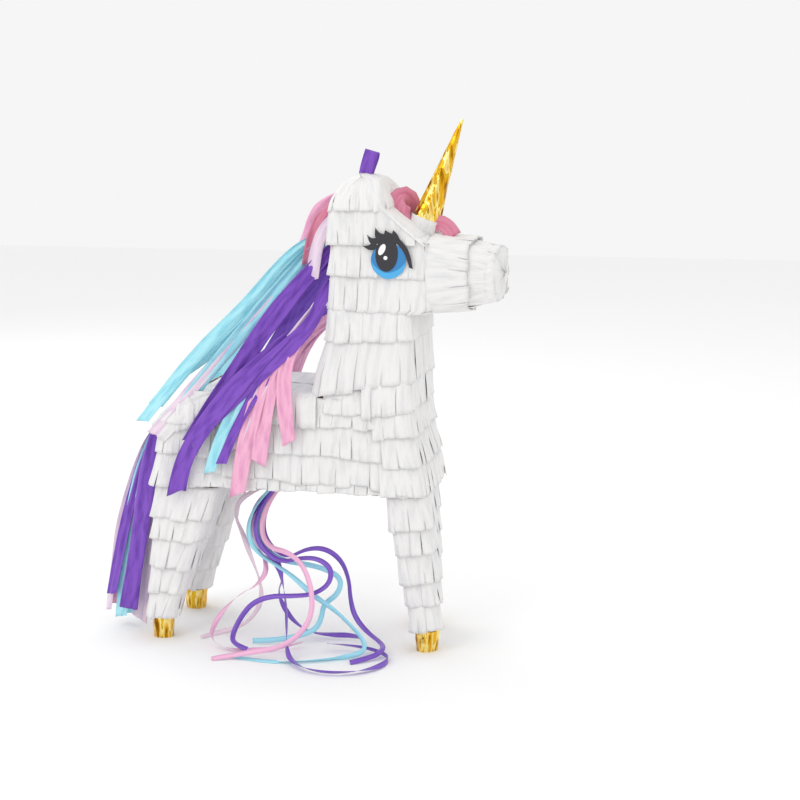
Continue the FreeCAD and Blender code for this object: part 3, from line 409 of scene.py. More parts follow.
def ribbon_strip(name, line, width, twist, material):
    """A flat strip whose width is carried along the line, turned slowly, and laid flat near the floor."""
    directions = tangents(line)
    across = directions[0].cross(RIBBON_FACE).normalized()
    vertices, uvs, travelled = [], [], 0.0
    for index, (point, ahead) in enumerate(zip(line, directions)):
        wanted = ahead.cross(RIBBON_FACE)
        if wanted.dot(across) < 0:
            wanted = -wanted
        across = across + wanted * 0.25
        across = (across - ahead * across.dot(ahead)).normalized()
        swing = (0.5 + 1.2 * twist) * math.sin(math.pi * index / len(line) * 4 + 2 * twist)
        turned = Matrix.Rotation(swing, 3, ahead) @ across
        room = max(0.0, min(1.0, (point.z - FLOOR_CLEAR) / (width / 2)))
        if abs(turned.z) > room:
            level = Vector((turned.x, turned.y, 0))
            level = level.normalized() if level.length > 1e-3 else Vector((-ahead.y, ahead.x, 0)).normalized()
            turned = level * math.sqrt(1 - room ** 2) + Vector((0, 0, math.copysign(room, turned.z)))
        if index:
            travelled += (point - line[index - 1]).length
        for side in (-0.5, 0.0, 0.5):
            vertices.append(point + turned * width * side)
            uvs.append((side * width / MM, travelled / MM))
    ribbon = mesh_piece(name, vertices, strip_faces(len(line), 2), uvs, material)
    thicken(ribbon, RIBBON_FILM, 0)
    return ribbon


for number, (film, twist, route) in enumerate(ROUTES, start=1):
    line = smooth_line([Vector(corner) * MM for corner in route])
    ribbon = ribbon_strip(f"curling_ribbon_{number}", line, RIBBON_WIDTH, twist, film)
    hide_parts(f"pull_ribbon_{number}")
    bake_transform(ribbon)
    tuple(line[0])
    line_length(line)
    [tuple(point) for point in line]
    print(f"ribbon {number}: {line_length(line) / MM:.0f} mm")

# %% [markdown]
# The coat is rows of crepe fringe. On the real object each row is a folded strip of crepe, snipped along
# one edge into flaps and glued by the other, and each row hides the glued edge of the row below. A row is
# modelled as a grid that follows the card: every column runs down a flap, flaps part below the uncut
# edge, and each flap leans, curls and wrinkles a little by itself. The CAD sleeves give the shape: each
# is sliced at many heights, and the slices' widths are the profile that the rows hang on.

# %% Profiles of the CAD sleeves
SLICES = 30
SLICE_MARGIN = 0.3 * MM


def sleeve_profile(node_name, axis):
    """Where slices square to an axis lie, and each slice's lowest and highest corner."""
    low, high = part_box(node_name)
    places = np.linspace(low[axis] + SLICE_MARGIN, high[axis] - SLICE_MARGIN, SLICES)
    lows, highs = [], []
    for place in places:
        copy = bmesh.new()
        copy.from_mesh(frame["nodes"][node_name].data)
        point, normal = Vector(), Vector()
        point[axis], normal[axis] = place, 1.0
        cut = bmesh.ops.bisect_plane(copy, geom=copy.verts[:] + copy.edges[:] + copy.faces[:],
                                     plane_co=point, plane_no=normal)["geom_cut"]
        spots = np.array([item.co for item in cut if isinstance(item, bmesh.types.BMVert)])
        lows.append(spots.min(axis=0))
        highs.append(spots.max(axis=0))
        copy.free()
    return places, np.array(lows), np.array(highs)


def softened(values, times=2):
    """A profile with its steps smoothed."""
    for _ in range(times):
        padded = np.concatenate((values[:1], values, values[-1:]))
        values = (padded[:-2] + padded[1:-1] + padded[2:]) / 3
    return values


torso, neck, head = (sleeve_profile(f"fringe_{name}", 2) for name in ("torso", "neck", "head"))
BELLY_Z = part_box("belly_strip")[0][2]
BACK_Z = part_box("fringe_neck")[0][2]
below = torso[0] < BACK_Z
body_z = np.concatenate((torso[0][below], neck[0], head[0]))
body_front = np.concatenate((torso[2][below, 0], neck[2][:, 0], head[2][:, 0]))
neck_rear = np.concatenate((np.full(below.sum(), neck[1][0, 0]), neck[1][:, 0], head[1][:, 0]))
body_half = softened(np.concatenate((torso[2][below, 1], neck[2][:, 1], head[2][:, 1])), 3)
print("front from", body_front.min(), "to", body_front.max())


def column_profile(z):
    """Rear, front and half width of the neck and head at a height."""
    return (np.interp(z, body_z, neck_rear), np.interp(z, body_z, body_front),
            np.interp(z, body_z, body_half))


def torso_profile(z):
    """Rear, front and half width of the body below the neck at a height."""
    return (np.interp(z, torso[0], torso[1][:, 0]), np.interp(z, body_z, body_front),
            np.interp(z, torso[0], torso[2][:, 1]))


# %% [markdown]
# A row is laid out on a rounded box. Each column keeps its place along a side or round a corner, whatever
# the box's size at that height, so columns run straight down.

# %% Columns round a rounded box
COLUMN_MM = 1.3


def round_columns(length, width, radius, start, end):
    """Columns as (side, fraction) round a box; start and end are fractions of the way round.
    The way goes from the middle of the rear along the right side, the front and the left side."""
    sides = [("rear_right", width / 2 - radius), ("corner_1", radius * 1.571), ("right", length - 2 * radius),
             ("corner_2", radius * 1.571), ("front", width - 2 * radius), ("corner_3", radius * 1.571),
             ("left", length - 2 * radius), ("corner_4", radius * 1.571),
             ("rear_left", width / 2 - radius)]
    total = sum(side[1] for side in sides)
    count = max(8, int((end - start) * total / (COLUMN_MM * MM)))
    columns = []
    for distance in np.linspace(start * total, end * total, count + 1):
        distance = min(distance, total * (1 - 1e-9))
        for name, span in sides:
            if distance <= span:
                break
            distance -= span
        columns.append((name, min(1.0, distance / max(span, 1e-9))))
    return columns, (end - start) * total


def box_point(column, low_x, high_x, half, radius):
    """Place and outward direction of a column on the box."""
    side, share = column
    radius = min(radius, half * 0.98, (high_x - low_x) * 0.49)
    left_x, right_x, inner = low_x + radius, high_x - radius, half - radius
    if side == "rear_right":
        return (low_x, -inner * share), (-1, 0)
    if side == "right":
        return (left_x + (right_x - left_x) * share, -half), (0, -1)
    if side == "front":
        return (high_x, inner * (2 * share - 1)), (1, 0)
    if side == "left":
        return (right_x - (right_x - left_x) * share, half), (0, 1)
    if side == "rear_left":
        return (low_x, inner * (1 - share)), (-1, 0)
    turn = share * math.pi / 2
    corner = {"corner_1": (left_x, -inner, math.pi), "corner_2": (right_x, -inner, 1.5 * math.pi),
              "corner_3": (right_x, inner, 0.0), "corner_4": (left_x, inner, 0.5 * math.pi)}[side]
    angle = corner[2] + turn
    out = (math.cos(angle), math.sin(angle))
    return (corner[0] + out[0] * radius, corner[1] + out[1] * radius), out


# %% [markdown]
# The fringe builder takes the bare surface, as a grid of points and outward directions, and makes the
# flaps. Slits are spaced unevenly, start at different heights and hardly gape. Each flap gets its own
# lean, length, curl and sideways drift from a seeded random generator; where two flaps still hang
# together they share them. Noise drawn out down the strip makes the creases and the puffs.

# %% Fringe builder
ROW_STEPS = 11
CREPE_SHEET = 0.25 * MM


def slits(last, flap, slit_from, chance):
    """Columns where flaps meet, how far down each slit starts, and its gap in millimetres."""
    edges, at = [0], 0
    while True:
        at += max(4, round(chance.uniform(*flap) / COLUMN_MM))
        if at > last - 5:
            break
        edges.append(at)
    edges.append(last)
    starts = [slit_from + (1 - slit_from) * chance.uniform(0.0, 0.75) ** 1.3 for _ in edges]
    gaps = [chance.uniform(-0.5, 0.18) for _ in edges]
    starts[-1] = starts[0]
    return edges, starts, gaps


def fringe(name, base, out, closed, seed, inset=3.0, flare=1.0, slit_from=0.25, flap=(9, 19), ragged=1.8,
           crease=0.55, loose=1.0):
    """One row of fringe over a grid of points; base and out are [column][step] lists."""
    chance = random.Random(seed)
    last, steps = len(base) - 1, len(base[0])
    edges, starts, gaps = slits(last, flap, slit_from, chance)
    flaps = [{"lean": chance.uniform(-0.4, 1.3), "long": chance.uniform(-1, 1) ** 3, "curl": chance.uniform(-1, 1),
              "drift": chance.uniform(-1, 1), "lift": chance.uniform(0.0, 1.3)} for _ in edges[1:]]
    total = len(flaps)
    vertices, uvs, index = [], [], {}

    def corner(k, j, number):
        down = j / (steps - 1)
        share = (k - edges[number]) / (edges[number + 1] - edges[number])
        free = max(0.0, (down - slit_from) / (1 - slit_from))
        own = dict(flaps[number])
        split = False
        for edge, other, weight in ((number, number - 1, (1 - share) ** 2), (number + 1, number + 1, share ** 2)):
            outer = edge in (0, total) and not closed
            opened = 1.0 if outer else max(0.0, min(1.0, (down - starts[edge]) / 0.12))
            if k == edges[edge] and (opened > 0 or outer):
                split = True
            if not outer:
                for trait in own:
                    shared = (flaps[number][trait] + flaps[other % total][trait]) / 2
                    own[trait] += weight * (1 - opened) * (shared - flaps[number][trait])
        curl = own["curl"] * (2 * share - 1) if split or 0 < share < 1 else 0.0
        left_open = max(0.0, min(1.0, (down - starts[number]) / 0.12))
        right_open = max(0.0, min(1.0, (down - starts[number + 1]) / 0.12))
        curl *= left_open if share < 0.5 else right_open
        wrapped = 0 if closed and not split and k == last else k
        key = (wrapped, j, number if split else -1)
        if key in index:
            return index[key]
        point, away = Vector(base[k][j]), Vector(out[k][j])
        before, after = base[max(k - 1, 0)][j], base[min(k + 1, last)][j]
        side = (Vector(after) - Vector(before)).normalized()
        fall = (Vector(base[k][min(j + 1, steps - 1)]) - Vector(base[k][max(j - 1, 0)])).normalized()
        lines = k * COLUMN_MM
        wave = noise.noise(Vector((lines / 6.5, down * 0.8, seed * 3.7)))
        fine = noise.noise(Vector((lines / 2.6, down * 1.1, seed * 1.9 + 40)))
        puff = noise.noise(Vector((lines / 24, down * 1.2, seed * 0.9 + 90)))
        if closed and (k == 0 or k == last):
            wave = fine = puff = 0.0
        offset = -inset + (inset + 0.5) * down ** 0.7 * flare
        offset += crease * (1.5 * wave + 0.8 * fine) * (0.45 + 0.8 * down) + 1.6 * puff * down
        bend = own["lean"] + 0.9 * curl + free * own["lift"] * 0.9 * (1 - (2 * share - 1) ** 2)
        offset += loose * free * bend
        point = point + away * offset * MM
        gap = gaps[number] * (1 - share) * left_open - gaps[number + 1] * share * right_open
        point += side * (gap + 0.8 * own["drift"] * free ** 2) * MM
        jag = noise.noise(Vector((k * 0.9, seed, 7.0))) * 0.5 + 1.2 * noise.noise(Vector((lines / 30, seed, 3.0)))
        point += fall * free ** 3 * (own["long"] + jag) * ragged * MM
        index[key] = len(vertices)
        vertices.append(point)
        uvs.append((lines, down * steps * 3.2))
        return index[key]

    faces = []
    for number in range(total):
        for k in range(edges[number], edges[number + 1]):
            for j in range(steps - 1):
                faces.append((corner(k, j, number), corner(k, j + 1, number),
                              corner(k + 1, j + 1, number), corner(k + 1, j, number)))
    return mesh_piece(name, vertices, faces, uvs, white_crepe)


def grid(columns, steps, spot):
    """A row's points and outward directions, a list to a column; spot gives both for a column and a share
    of the way down."""
    pairs = [[spot(column, j / (steps - 1)) for j in range(steps)] for column in columns]
    return [[point for point, _ in line] for line in pairs], [[away for _, away in line] for line in pairs]


def flat_columns(low, high):
    """Places a column apart between two ends, in metres."""
    count = int((high - low) / (COLUMN_MM * MM))
    return [low + (high - low) * k / count for k in range(count + 1)]


def finish_piece(piece, node, body="body"):
    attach(piece, body)
    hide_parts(node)


def finish_sheet(piece, flat, node, body="body", cut_area=None):
    """Gives a paper piece its thickness and sets it on its body; flat and cut_area are not used."""
    thicken(piece, CREPE_SHEET, -1)
    finish_piece(piece, node, body)


# %% [markdown]
# The door in the left side has to open through the coat, so rows that cross it are cut along its edges
# and the piece inside is taken out.

# %% Doorway
DOOR_LOW, DOOR_HIGH = (Vector(corner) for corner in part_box("fill_door"))
DOOR_EDGE = 0.5 * MM


def cut_doorway(piece):
    """Cuts the door's opening out of a row on the left side and gives the area taken out."""
    mesh = bmesh.new()
    mesh.from_mesh(piece.data)
    low_x, high_x = DOOR_LOW.x - DOOR_EDGE, DOOR_HIGH.x + DOOR_EDGE
    low_z, high_z = DOOR_LOW.z - 2.2 * MM, DOOR_HIGH.z + DOOR_EDGE
    for place, normal in (((low_x, 0, 0), (1, 0, 0)), ((high_x, 0, 0), (1, 0, 0)),
                          ((0, 0, low_z), (0, 0, 1)), ((0, 0, high_z), (0, 0, 1))):
        near = [face for face in mesh.faces if face.calc_center_median().y > 30 * MM]
        geometry = set(near)
        for face in near:
            geometry.update(face.edges)
            geometry.update(face.verts)
        bmesh.ops.bisect_plane(mesh, geom=list(geometry), plane_co=place, plane_no=normal)
    inside = [face for face in mesh.faces
              if low_x < face.calc_center_median().x < high_x and low_z < face.calc_center_median().z < high_z
              and face.calc_center_median().y > 30 * MM]
    taken = sum(face.calc_area() for face in inside)
    if inside:
        bmesh.ops.delete(mesh, geom=inside, context="FACES")
    mesh.to_mesh(piece.data)
    mesh.free()
    return taken


# %% Rows round the body, neck and head
def hanging_row(name, node, profile, low, drop, slope, radius, seed, start=0.0, end=1.0, **extra):
    """A row that hangs from low + drop down to low; slope lifts it towards the front."""
    middle = profile(low + drop / 2)
    columns, around = round_columns(middle[1] - middle[0], 2 * middle[2], radius, start, end)
    centre = (middle[0] + middle[1]) / 2

    def spot(column, down):
        height = low + drop * (1 - down)
        height += slope * (box_point(column, *profile(height), radius)[0][0] - centre)
        place, away = box_point(column, *profile(height), radius)
        return (*place, height), (*away, 0.0)

    piece = fringe(name, *grid(columns, ROW_STEPS, spot), start == 0.0 and end == 1.0, seed, **extra)
    taken = cut_doorway(piece)
    finish_sheet(piece, (around, drop), node, cut_area=around * drop - taken if taken else None)


NECK_TOP = 312 * MM


def neck_profile(z):
    """The neck's own profile, kept going straight up under the head's lowest row."""
    return column_profile(min(z, NECK_TOP))


NECK_ROWS = [
    # name, node, lower edge and drop in millimetres, slope, corner radius
    ("neck_fringe_1", "fringe_neck", 248, 66, 0.17, 13),
    ("neck_fringe_2", "fringe_neck", 293, 36, 0.03, 11),
    ("head_fringe_1", "fringe_head", 319, 42, -0.03, 10),
    ("head_fringe_2", "fringe_head", 351, 38, -0.03, 10),
]
for seed, (name, node, low, drop, slope, radius) in enumerate(NECK_ROWS, start=11):
    profile = neck_profile if node == "fringe_neck" else column_profile
    hanging_row(name, node, profile, low * MM, drop * MM, slope, radius * MM, seed, inset=3.0, flare=0.9)

# %% [markdown]
# The forehead slopes, so its top row is three pieces: one round each side and the back of the head, whose
# flaps hang straight from the slope's edge, and a sheet bent over the slope with its flaps towards the
# muzzle.

# %% Top of the head
SLOPE_TOP, SLOPE_FOOT = (92 * MM, 417 * MM), (135 * MM, 380 * MM)
HEAD_ROW_LOW, HEAD_ROW_TOP, HEAD_RADIUS, HEAD_REACH = 380 * MM, 421 * MM, 10 * MM, 0.100
head_rear, head_half = head[1][8, 0], float(np.median(head[2][:18, 1]))


def slope_height(x):
    """Height of the forehead's slope above a place along the head."""
    return np.interp(x, [SLOPE_TOP[0], SLOPE_FOOT[0]], [SLOPE_TOP[1], SLOPE_FOOT[1]])


def head_spot(column, down):
    place, away = box_point(column, head_rear, head_rear + HEAD_REACH, head_half, HEAD_RADIUS)
    top = max(min(HEAD_ROW_TOP, slope_height(place[0]) + MM), HEAD_ROW_LOW + 4 * MM)
    return (*place, top + (HEAD_ROW_LOW - top) * down), (*away, 0.0)


for side_name, (start, end) in (("right", (0.0, 0.33)), ("left", (0.67, 1.0))):
    columns, around = round_columns(HEAD_REACH, 2 * head_half, HEAD_RADIUS, start, end)
    piece = fringe(f"head_fringe_3_{side_name}", *grid(columns, ROW_STEPS, head_spot), False,
                   25 + len(side_name), inset=2.4, flare=0.9)
    finish_sheet(piece, (around, 40 * MM), "fringe_head")


def slope_sheet(name, node, top, foot, half, edge_radius, hang, seed, **extra):
    """A sheet down a slope between two (x, z) places, bent over the slope's two side edges."""
    run_down = Vector((foot[0] - top[0], 0, foot[1] - top[1]))
    slope_out = Vector((-run_down.z, 0, run_down.x)).normalized()
    if slope_out.z < 0:
        slope_out = -slope_out
    across = 2 * (half - edge_radius) + math.pi * edge_radius + 2 * hang
    count = int(across / (COLUMN_MM * MM))

    def spot(run, down):
        side, run = (1 if run > 0 else -1), abs(run)
        turn = max(0.0, min(math.pi / 2, (run - half + edge_radius) / edge_radius))
        sink = edge_radius * (1 - math.cos(turn)) + max(0.0, run - half + edge_radius - edge_radius * math.pi / 2)
        y = side * (min(run, half - edge_radius) + edge_radius * math.sin(turn))
        away = slope_out * math.cos(turn) + Vector((0, side, 0)) * math.sin(turn)
        return tuple(Vector((top[0], y, top[1])) + run_down * down - slope_out * sink), tuple(away)

    runs = [across * k / count - across / 2 for k in range(count + 1)]
    piece = fringe(name, *grid(runs, ROW_STEPS + 1, spot), False, seed, **extra)
    finish_sheet(piece, (across, run_down.length), node)


slope_sheet("forehead_sheet", "fringe_head", SLOPE_TOP, SLOPE_FOOT, head_half + 0.2 * MM, 5 * MM, -3 * MM, 29,
            inset=0.6, flare=1.0, slit_from=0.4, crease=0.9)

# %% [markdown]
# The chest is covered by rows that wrap round the front only, and they end in uneven steps on the sides.
# The rump has its own short rows, and flat strips run along each side between them, under both.

# %% Chest, rump and side rows
CHEST_ROWS = [
    ("chest_fringe_1", 222, 44, 0.14, 0.262),
    ("chest_fringe_2", 199, 38, 0.13, 0.285),
    ("chest_fringe_3", 175, 36, 0.03, 0.300),
    ("chest_fringe_4", 150, 36, 0.00, 0.290),
]


def chest_profile(z):
    flare = 7 * MM * max(0.0, min(1.0, (BACK_Z - z) / (89 * MM))) ** 1.4
    z = max(z, BELLY_Z + 12 * MM)
    half = torso_profile(min(z, BACK_Z - MM))[2]
    wide = np.interp(z, [BELLY_Z, BACK_Z, BACK_Z + 20 * MM], [half, half, column_profile(z)[2]])
    return 20 * MM, column_profile(z)[1] + flare, wide


for seed, (name, low, drop, slope, start) in reversed(list(enumerate(CHEST_ROWS, start=31))):
    hanging_row(name, "fringe_torso", chest_profile, low * MM, drop * MM, slope, 13 * MM, seed, start, 1 - start,
                inset=1.6, flare=1.5)

RUMP_ROWS = [
    ("rump_fringe_1", 208, 34, -0.05, 0.215),
    ("rump_fringe_2", 179, 40, -0.04, 0.210),
    ("rump_fringe_3", 152, 40, 0.02, 0.205),
]


def rump_profile(z):
    flare = 9 * MM * max(0.0, min(1.0, (205 * MM - z) / (55 * MM))) ** 1.4
    rear, front, half = torso_profile(max(z, BELLY_Z + 12 * MM))
    return rear - flare, 30 * MM, half


for seed, (name, low, drop, slope, reach) in reversed(list(enumerate(RUMP_ROWS, start=41))):
    for side, (start, end) in (("right", (0.0, reach)), ("left", (1 - reach, 1.0))):
        hanging_row(f"{name}_{side}", "fringe_torso", rump_profile, low * MM, drop * MM, slope, 14 * MM,
                    seed + (50 if side == "left" else 0), start, end, inset=2.2, flare=1.2)

SIDE_ROWS = [
    # name, rear and front ends, lower edge at the rear and the front, drop, inset
    ("shoulder_fringe", 40, 90, 226, 226, 24, 7.0),
    ("side_fringe_1", -84, 90, 215, 211, 27, 3.4),
    ("side_fringe_2", -88, 98, 191, 181, 34, 3.4),
    ("side_fringe_3", -90, 112, 166, 155, 36, 3.4),
    ("side_fringe_4", -110, 120, 151, 150, 24, 3.4),
]
SIDES = ((-1, "right"), (1, "left"))
for seed, (name, rear, front, rear_low, front_low, drop, inset) in reversed(list(enumerate(SIDE_ROWS, start=51))):
    for side, side_name in SIDES:
        def side_spot(x, down):
            low = rear_low + (front_low - rear_low) * (x / MM - rear) / (front - rear)
            return (x, side * torso_profile(low * MM)[2], (low + drop * (1 - down)) * MM), (0, side, 0)

        piece = fringe(f"{name}_{side_name}", *grid(flat_columns(rear * MM, front * MM), ROW_STEPS, side_spot),
                       False, seed + 5 * side, inset=inset, flare=0.75, crease=0.55)
        width, length = (front - rear) * MM, drop * MM
        taken = cut_doorway(piece) if side > 0 else 0.0
        finish_sheet(piece, (width, length), "fringe_torso", cut_area=width * length - taken if taken else None)

# %% [markdown]
# Over the back lies one wide sheet, bent over the top edges and snipped along both lower edges. It runs
# from the foot of the neck to the rump. Its grid follows the back from side to side.

# %% Back sheet
BACK_RADIUS, BACK_HANG, BACK_STEPS = 11 * MM, 20 * MM, 14
BACK_REAR, BACK_FRONT = -101 * MM, 34 * MM
torso_along = sleeve_profile("fringe_torso", 0)
back_line = softened(torso_along[2][:, 2], 1)
neck_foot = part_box("fringe_neck")[0][0] - 4 * MM
flat, bend = torso_profile(220 * MM)[2] - BACK_RADIUS, BACK_RADIUS * math.pi / 2
for side, side_name in SIDES:
    def back_spot(x, down):
        top = BACK_Z + 4 * MM if x > neck_foot else np.interp(x, torso_along[0], back_line)
        run = (flat + bend + BACK_HANG) * down
        turn = max(0.0, min(math.pi / 2, (run - flat) / BACK_RADIUS))
        y = side * (min(run, flat) + BACK_RADIUS * math.sin(turn))
        height = top - BACK_RADIUS * (1 - math.cos(turn)) - max(0.0, run - flat - bend)
        return (x, y, height), (0, side * math.sin(turn), math.cos(turn))

    piece = fringe(f"back_sheet_{side_name}", *grid(flat_columns(BACK_REAR, BACK_FRONT), BACK_STEPS, back_spot),
                   False, 71 + side, inset=1.6, flare=1.3, slit_from=0.72, crease=0.8)
    finish_sheet(piece, (BACK_FRONT - BACK_REAR, flat + bend + BACK_HANG), "fringe_torso")

# %% [markdown]
# The crown is arched from side to side. Its row starts as a closed seam along the ridge and comes down to
# the first edge of the head. The grid follows slices of the CAD sleeve up to the ridge.

# %% Crown
CROWN_LOW, CROWN_FRONT, CROWN_STEPS = 411 * MM, 97 * MM, 15
crown_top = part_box("fringe_head")[1][2]
middle = column_profile(CROWN_LOW)
columns, around = round_columns(middle[1] - middle[0], 2 * middle[2], HEAD_RADIUS, 0.0, 1.0)


def crown_spot(column, down):
    height = crown_top - 0.1 * MM - (crown_top - CROWN_LOW) * down ** 1.5
    rear, front, half = column_profile(height)
    place, away = box_point(column, rear, min(front, CROWN_FRONT), half if down else 0.3 * MM, HEAD_RADIUS)
    return (*place, height), tuple(Vector((*away, 1.5 * (1 - down))).normalized())


base, out = grid(columns, CROWN_STEPS, crown_spot)
crown = fringe("crown_fringe", base, out, True, 81, inset=1.0, flare=0.7, slit_from=0.6, crease=0.45)
ridge = line_length([Vector(column[0]) for column in base])
run = max(line_length([Vector(point) for point in column]) for column in base)
finish_sheet(crown, (around, run), "fringe_head", cut_area=min(around, (around + ridge) / 2) * run)
print(f"crown cut {around:.3f} m below, {ridge:.3f} m at the ridge, {run:.3f} m long")

# %% [markdown]
# The muzzle's rows go round it and hang towards its tip. The root row is gathered, so it has deeper
# creases, and a crumpled disc closes the tip.

# %% Muzzle
muzzle = sleeve_profile("fringe_muzzle", 0)
MUZZLE_RADIUS = 13 * MM
MUZZLE_BULGE = 3.0 * MM   # the sides puff out between the corners


def muzzle_profile(x):
    """Lowest, highest and half width of the muzzle at a place along it."""
    low, high = (np.interp(x, muzzle[0], muzzle[corner][:, 2]) for corner in (1, 2))
    half = np.interp(x, muzzle[0], muzzle[2][:, 1])
    pinch = 3 * MM * max(0.0, (x - 180 * MM) / (17 * MM)) ** 2
    return low + pinch, high - pinch, half - pinch


def puffed(column):
    """How far a column bulges: nothing at a corner, one in the middle of a side."""
    side, share = column
    along = {"rear_right": 0.5 + share / 2, "rear_left": share / 2}.get(side, share)
    return 0.0 if side.startswith("corner") else 4 * along * (1 - along)


def muzzle_point(column, low, high, half):
    """A place on the muzzle's puffed outline, seen along it, and its outward direction."""
    place, away = box_point(column, low, high, half, MUZZLE_RADIUS)
    puff = MUZZLE_BULGE * puffed(column)
    return (place[0] + away[0] * puff, place[1] + away[1] * puff), away


def muzzle_columns(low, high, half):
    return round_columns(high - low, 2 * half, MUZZLE_RADIUS, 0.0, 1.0)


def muzzle_row(name, root, tip, seed, **extra):
    """A row round the muzzle between two places along it, its flaps towards the tip."""
    columns, around = muzzle_columns(*muzzle_profile((root + tip) / 2))

    def spot(column, down):
        x = root + (tip - root) * down
        place, away = muzzle_point(column, *muzzle_profile(x))
        return (x, -place[1], place[0]), (0, -away[1], away[0])

    piece = fringe(name, *grid(columns, ROW_STEPS, spot), True, seed, **extra)
    finish_sheet(piece, (around, tip - root), "fringe_muzzle")


muzzle_row("muzzle_fringe_3", 170 * MM, 194 * MM, 93, inset=3.0, flare=0.5, crease=0.4, slit_from=0.8)
muzzle_row("muzzle_fringe_2", 158 * MM, 196 * MM, 92, inset=2.6, flare=0.85, crease=0.5, slit_from=0.5, loose=0.3)
muzzle_row("muzzle_fringe_1", 133 * MM, 172 * MM, 91, inset=1.6, flare=1.3, crease=1.1, slit_from=0.5)

TIP_BASE, TIP_PUFF, TIP_SKIRT = 187, 10, 10 * MM
low, high, half = muzzle_profile(193 * MM)
centre_z = (low + high) / 2


def tip_spot(column, inward):
    """The end sheet, from its skirt round the muzzle in to the middle of the tip."""
    place, away = muzzle_point(column, low, high, half)
    size = 1.07 - 1.069 * inward ** 3
    point = ((TIP_BASE + TIP_PUFF * (1 - (1 - inward) ** 3)) * MM, -place[1] * size,
             centre_z + (place[0] - centre_z) * size)
    return point, tuple(Vector((0.4 + inward, -away[1] * (1 - inward), away[0] * (1 - inward))).normalized())


tip = fringe("muzzle_tip_sheet", *grid(muzzle_columns(low, high, half)[0], ROW_STEPS, tip_spot), True, 95,
             inset=1.2, flare=0.9, slit_from=0.99, crease=0.9, ragged=0.0)
width, length = 2 * half + 2 * TIP_SKIRT, high - low + 2 * TIP_SKIRT
finish_sheet(tip, (width, length), "fringe_muzzle",
             cut_area=width * length - (4 - math.pi) * (MUZZLE_RADIUS + TIP_SKIRT) ** 2)

# %% [markdown]
# Each leg has five or six rows, shorter than the body's because the leg is slim. The rows widen upwards
# with the leg's sleeve.

# %% Legs
LEG_ROWS = {
    # leg: (slope, lower edges in millimetres, from the hoof up)
    "front_leg_right": (0.10, [22, 45, 66, 95, 118]),
    "front_leg_left": (0.08, [22, 46, 69, 93, 117]),
    "hind_leg_right": (-0.05, [22, 46, 70, 98, 119]),
    "hind_leg_left": (-0.04, [22, 45, 71, 96, 120]),
}
LEG_RADIUS, LEG_TOP = 10 * MM, 151
for leg_number, (leg, (slope, edges)) in enumerate(LEG_ROWS.items()):
    node = f"fringe_{leg}"
    places, lows, highs = sleeve_profile(node, 2)

    def leg_box(height):
        """Rear, front, right and left of the leg at a height."""
        return [np.interp(height, places, corner[:, axis]) for axis in (0, 1) for corner in (lows, highs)]

    for number, (low, top) in enumerate(zip(edges, edges[1:] + [LEG_TOP]), start=1):
        drop = min(top - low + 9, LEG_TOP - low)
        rear, front, right, left = leg_box((low + drop / 2) * MM)
        columns, around = round_columns(front - rear, left - right, LEG_RADIUS, 0.0, 1.0)

        def leg_spot(column, down):
            ahead = box_point(column, rear, front, 0.02, LEG_RADIUS)[0][0] - (rear + front) / 2
            height = min((low + drop * (1 - down)) * MM + slope * ahead, (LEG_TOP - 0.4) * MM)
            x_low, x_high, y_low, y_high = leg_box(height)
            place, away = box_point(column, x_low, x_high, (y_high - y_low) / 2, LEG_RADIUS)
            return (place[0], place[1] + (y_low + y_high) / 2, height), (*away, 0.0)

        piece = fringe(f"{leg}_fringe_{number}", *grid(columns, ROW_STEPS, leg_spot), True,
                       200 + 10 * leg_number + number, inset=2.4, flare=1.1, crease=0.5)
        finish_sheet(piece, (around, drop * MM), node)

# %% [markdown]
# The top of the rump slopes down to the tail, so it has a sheet of its own, bent over both sides.

# %% Top of the rump
slope_sheet("rump_top_sheet", "fringe_torso", (-92 * MM, 240 * MM), (-126 * MM, 208 * MM), 62 * MM, 12 * MM, 8 * MM,
            73, inset=0.6, flare=1.1, slit_from=0.55, crease=0.9)

# %% [markdown]
# Under the belly the crepe lies flat in rows that run across it, with a hole for the release flap. The
# flap carries two short rows of its own, which drop with it.

# %% Belly, release flap and fill door
FLAP_LOW, FLAP_HIGH = (Vector(corner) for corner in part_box("release_flap"))


def belly_row(name, rear, front, y_low, y_high, seed, height, node, body):
    """A row under the belly, its flaps towards the rear."""
    def spot(y, down):
        return (front + (rear - front) * down, y, height), (0, 0, -1)

    piece = fringe(name, *grid(flat_columns(y_low, y_high), ROW_STEPS, spot), False, seed, inset=0.8, flare=0.9,
                   crease=0.35, ragged=0.8)
    finish_sheet(piece, (y_high - y_low, abs(front - rear)), node, body)


UNDER, SIDE_Y, FLAP_GAP = 151.6 * MM, 58 * MM, 0.8 * MM
gap_x = (FLAP_LOW.x - FLAP_GAP, FLAP_HIGH.x + FLAP_GAP)
gap_y = (FLAP_LOW.y - FLAP_GAP, FLAP_HIGH.y + FLAP_GAP)
BELLY_ROWS = [
    # name, rear and front, right and left edges, seed
    ("belly_fringe_1", -120 * MM, -76 * MM, -SIDE_Y, SIDE_Y, 301),
    ("belly_fringe_2", -84 * MM, -50 * MM, -SIDE_Y, SIDE_Y, 302),
    ("belly_fringe_3", -56 * MM, gap_x[0], -SIDE_Y, SIDE_Y, 303),
    ("belly_fringe_4", gap_x[1], 66 * MM, -SIDE_Y, SIDE_Y, 304),
    ("belly_fringe_5", 62 * MM, 90 * MM, -SIDE_Y, SIDE_Y, 305),
    ("belly_fringe_6", 86 * MM, 130 * MM, -SIDE_Y, SIDE_Y, 306),
    ("belly_fringe_right", *gap_x, -SIDE_Y, gap_y[0], 325),
    ("belly_fringe_left", *gap_x, gap_y[1], SIDE_Y, 324),
]
